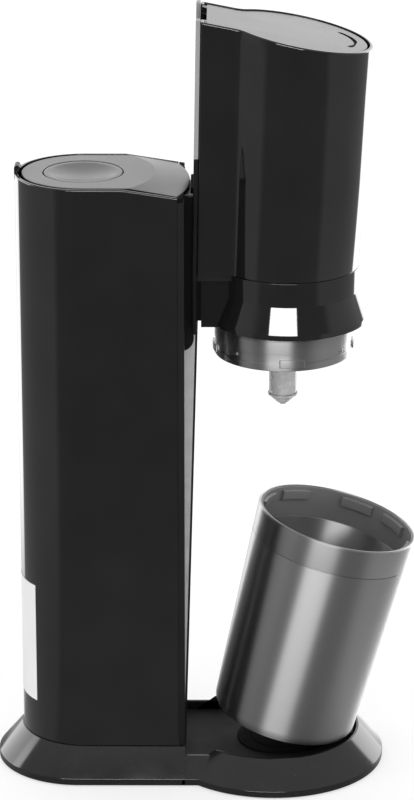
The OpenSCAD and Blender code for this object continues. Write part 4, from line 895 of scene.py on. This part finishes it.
# Vessel, drawn round its own axis and then tipped
tipped = Matrix.Translation((TILT_X * MM, 0, TILT_Z * MM)) @ Matrix.Rotation(TILT_A, 4, "Y")
tipped = tipped @ Matrix.Translation(((AXIS_X - TILT_X) * MM, 0, -TILT_Z * MM))
TAPER = 5.8 / 152.6


def vessel_piece(name, parts, material, node):
    """Makes a piece of the vessel, tipped with it."""
    piece(name, parts, material, "vessel", replaces=(node,), matrix=tipped, sharp=34)


def vessel_r(z):
    """Outer radius of the vessel at a height."""
    return 49.4 + TAPER * (z - VESSEL_Z)


BAND_Z = RIM_Z - 20.5
band_r, rim_r = vessel_r(BAND_Z), vessel_r(RIM_Z)
shell_profile = [(0, VESSEL_Z), (30, VESSEL_Z)] + arc(40.4, VESSEL_Z + 9, 9, -90, 0, 18) + [
    (vessel_r(BAND_Z - 0.4) - 0.02, BAND_Z - 0.4), (band_r - 0.16, BAND_Z - 0.1), (band_r - 0.5, BAND_Z),
    (band_r - 0.8, BAND_Z + 0.02), (rim_r - 0.8, RIM_Z - 0.4), (rim_r - 1.7, RIM_Z - 0.4),
    (vessel_r(VESSEL_Z + 18) - 1.7, VESSEL_Z + 18), (40.4, VESSEL_Z + 3), (0, VESSEL_Z + 3)]
vessel_piece("vessel_body", [revolve(shell_profile, n=192)], steel, "vessel_shell")

band_profile = rounded([
    (band_r - 0.7, BAND_Z + 0.5, 0), (band_r, BAND_Z + 0.5, 0.35), (vessel_r(RIM_Z - 1), RIM_Z - 0.9, 0.6),
    (rim_r - 0.75, RIM_Z, 0.3), (rim_r - 1.6, RIM_Z, 0.15), (rim_r - 1.6, RIM_Z - 0.34, 0),
    (rim_r - 0.7, RIM_Z - 0.34, 0)], n=4)
vessel_piece("vessel_rim_band", [revolve(band_profile, n=192)], steel, "vessel_band")


def inner_r(z):
    """Inner radius of the vessel's wall at a height."""
    return vessel_r(z) - 0.7 - 0.1 - 0.9


COLLAR_Z = RIM_Z - 22
collar_r, mouth_r = inner_r(COLLAR_Z), inner_r(RIM_Z)
inside = rounded([
    (collar_r - 1.4, COLLAR_Z, 0.2), (collar_r - 0.1, COLLAR_Z, 0), (mouth_r - 0.1, RIM_Z - 0.4, 0.15),
    (mouth_r - 1.4, RIM_Z - 0.4, 0.4)])
collar_bits = [revolve(inside, n=192)]
LUG_Z0, LUG_Z1 = RIM_Z - 9.3, RIM_Z - 2.6
lug_r = inner_r(LUG_Z0) - 1.4
for i in range(4):
    for s in (-1, 1):
        mid = i * 90 + LUG_MID + s * 26.5
        collar_bits.append(
            bend_block(-(lug_r + 0.3), -(lug_r - 2.2), LUG_Z0, LUG_Z1, mid - 192.5, mid - 167.5, 0.55))
vessel_piece("vessel_inner_collar", collar_bits, collar_grey, "vessel_collar")

LINER_Z = VESSEL_Z + 6
liner_in = collar_r - 0.1 - 1.3 - 0.8
liner_floor_r, liner_bend = 43.5, 6
liner_profile = [
    (0, LINER_Z), (44.0, LINER_Z), (45.1, LINER_Z + 0.8), (liner_in + 0.8, COLLAR_Z - 1.7),
    (collar_r - 0.1, COLLAR_Z - 0.9), (collar_r - 0.1, COLLAR_Z - 0.1), (liner_in + 0.2, COLLAR_Z - 0.1),
    (liner_in, COLLAR_Z - 0.35), (liner_floor_r, LINER_Z + liner_bend)]
for ux, uy in map(direction, range(10, 91, 10)):
    r = liner_floor_r - liner_bend + liner_bend * ux
    liner_profile.append((r, LINER_Z + 0.8 + liner_bend - liner_bend * uy))
liner_profile.append((0, LINER_Z + 0.8))
vessel_piece("vessel_inside", [revolve(liner_profile, n=160)], steel, "vessel_liner")

# Floor, surroundings, light
floor_mesh = bpy.data.meshes.new("floor")
reach = 9.0
corners = [(-reach, -reach, 0), (reach, -reach, 0), (reach, reach, 0), (-reach, reach, 0)]
floor_mesh.from_pydata(corners, [], [(0, 1, 2, 3)])
floor = bpy.data.objects.new("floor", floor_mesh)
bpy.context.scene.collection.objects.link(floor)

# Brightness of the surroundings by the angle round the object: 0 and 1 behind it, 0.5 in front
FAR = [
    (0.0, 0.9), (0.03, 0.9), (0.056, 1.1), (0.083, 1.9), (0.122, 2.5), (0.129, 0.32), (0.16, 0.24),
    (0.25, 0.25), (0.36, 0.28), (0.385, 0.12), (0.5, 0.1), (0.615, 0.12), (0.64, 0.28), (0.75, 0.25),
    (0.84, 0.26), (0.871, 0.32), (0.878, 3.0), (0.917, 2.4), (0.944, 1.5), (0.97, 1.0), (1.0, 0.9)]
NEAR = [
    (0.0, 0.5), (0.03, 0.4), (0.1, 0.4), (0.128, 0.45), (0.14, 0.25), (0.25, 0.22), (0.36, 0.22),
    (0.385, 0.14), (0.5, 0.14), (0.6, 0.2), (0.62, 0.3), (0.66, 0.38), (0.75, 0.45), (0.8, 0.55),
    (0.86, 0.75), (0.873, 1.1), (0.93, 1.3), (1.0, 0.5)]
SKY = [
    (0.0, 1.0), (0.06, 1.2), (0.1, 2.2), (0.19, 2.2), (0.2, 3.2), (0.228, 4.0), (0.2335, 0.35),
    (0.34, 0.3), (0.385, 0.12), (0.5, 0.1), (0.655, 0.12), (0.685, 0.32), (0.84, 0.36), (0.8515, 0.4),
    (0.857, 3.2), (0.9, 2.4), (0.95, 1.3), (1.0, 1.0)]
TOP_LEVEL = 4.0


def around(n, x, y, stops):
    """Brightness of the surroundings in a direction."""
    a = n.math("ARCTAN2", x, n.math("MULTIPLY", y, -1.0))
    t = n.span(a, -pi, pi)
    return n.math("MULTIPLY", n.ramp(t, [(p, v / TOP_LEVEL) for p, v in stops]), TOP_LEVEL)


def glow_shader(n, kind, strength):
    """White light of a strength, as an emission or a background."""
    return n.add(kind, {"Color": (1, 1, 1, 1), "Strength": strength}).outputs[0]


def floor_white():
    """Pale floor with the object's shadow, in which glossy pieces mirror the surroundings."""
    m, n = new_material("floor_white")
    m.cycles.emission_sampling = "NONE"
    at = n.add("ShaderNodeTexCoord").outputs["Object"]
    place = n.add("ShaderNodeSeparateXYZ", {"Vector": at})
    near_x = n.add("ShaderNodeClamp", {"Value": place.outputs["X"], "Min": -0.08, "Max": 0.1}).outputs[0]
    x, y = n.math("SUBTRACT", place.outputs["X"], near_x), place.outputs["Y"]
    away = n.add("ShaderNodeVectorMath", {0: at}, operation="LENGTH").outputs["Value"]
    farness = n.span(away, 0.16, 0.75, kind="SMOOTHSTEP")
    levels = {0: farness, 2: around(n, x, y, NEAR), 3: around(n, x, y, FAR)}
    mirrored_level = n.add("ShaderNodeMix", levels, data_type="FLOAT").outputs[0]
    tint = n.ramp(n.noise(at, 3.0), [(0.0, 0.49), (1.0, 0.51)])
    matt = n.add("ShaderNodeBsdfDiffuse", {"Color": tint}).outputs[0]
    glow = glow_shader(n, "ShaderNodeEmission", 0.57)
    plain = n.add("ShaderNodeAddShader", {0: matt, 1: glow}).outputs[0]
    finish_rays(n, plain, glow_shader(n, "ShaderNodeEmission", mirrored_level), "ShaderNodeOutputMaterial")
    return m


def finish_rays(n, plain, shiny_view, output):
    """Shows one shader to glossy rays and the other to all the rest."""
    glossy_ray = n.add("ShaderNodeLightPath").outputs["Is Glossy Ray"]
    both = n.add("ShaderNodeMixShader", {0: glossy_ray, 1: plain, 2: shiny_view}).outputs[0]
    n.add(output, {"Surface": both})


def surroundings():
    """White world, in which glossy pieces mirror dark and light walls and a plain ceiling."""
    world = bpy.data.worlds.new("surroundings")
    world.use_nodes = True
    world.cycles.sampling_method = "NONE"
    n = Nodes(world.node_tree)
    seen_from = n.add("ShaderNodeTexCoord").outputs["Generated"]
    way = n.add("ShaderNodeSeparateXYZ", {"Vector": seen_from}).outputs
    high = n.span(way["Z"], 0.38, 0.7, kind="SMOOTHSTEP")
    levels = {0: high, 2: around(n, way["X"], way["Y"], SKY), 3: 0.42}
    level = n.add("ShaderNodeMix", levels, data_type="FLOAT").outputs[0]
    plain = glow_shader(n, "ShaderNodeBackground", 1.0)
    finish_rays(n, plain, glow_shader(n, "ShaderNodeBackground", level), "ShaderNodeOutputWorld")
    return world


floor_mesh.materials.append(floor_white())
bpy.context.scene.world = surroundings()

# Soft box over the camera, which only the shiny pieces mirror
BOX_WAY, BOX_AWAY = Vector((-0.127, -0.9397, 0.3173)), 5.0
BOX_W, BOX_H, BOX_LEVEL = 3.54, 0.7, 13.0
box_data = bpy.data.lights.new("soft_box", "AREA")
box_data.shape = "RECTANGLE"
box_data.size, box_data.size_y = BOX_W, BOX_H
box_data.energy = BOX_LEVEL * BOX_W * BOX_H * pi
soft_box = bpy.data.objects.new("soft_box", box_data)
bpy.context.scene.collection.objects.link(soft_box)
soft_box.location = Vector((AXIS_X, 0, 325)) * MM + BOX_WAY * BOX_AWAY
soft_box.rotation_euler = BOX_WAY.to_track_quat("Z", "Y").to_euler()
soft_box.visible_camera = False
soft_box.visible_diffuse = False
mirroring = (gloss, base_gloss, steel, steel_ring, screw_steel, nozzle_clear, lid_paint, plate_paint)
shiny = bpy.data.collections.new("shiny_pieces")
for o in bpy.data.objects:
    if o.type == "MESH" and o.data.materials and o.data.materials[0] in mirroring:
        shiny.objects.link(o)
soft_box.light_linking.receiver_collection = shiny

# Camera
cam_data = bpy.data.cameras.new("camera")
cam = bpy.data.objects.new("camera", cam_data)
bpy.context.scene.collection.objects.link(cam)
cam.location = (0.00998, -2.27093, 1.05768)
cam.rotation_euler = (math.radians(70.65), 0.0, math.radians(0.22))
cam_data.sensor_width = 36.0
cam_data.lens = 160.5
cam_data.clip_end = 60.0
bpy.context.scene.camera = cam
bpy.context.scene.view_settings.view_transform = "Standard"
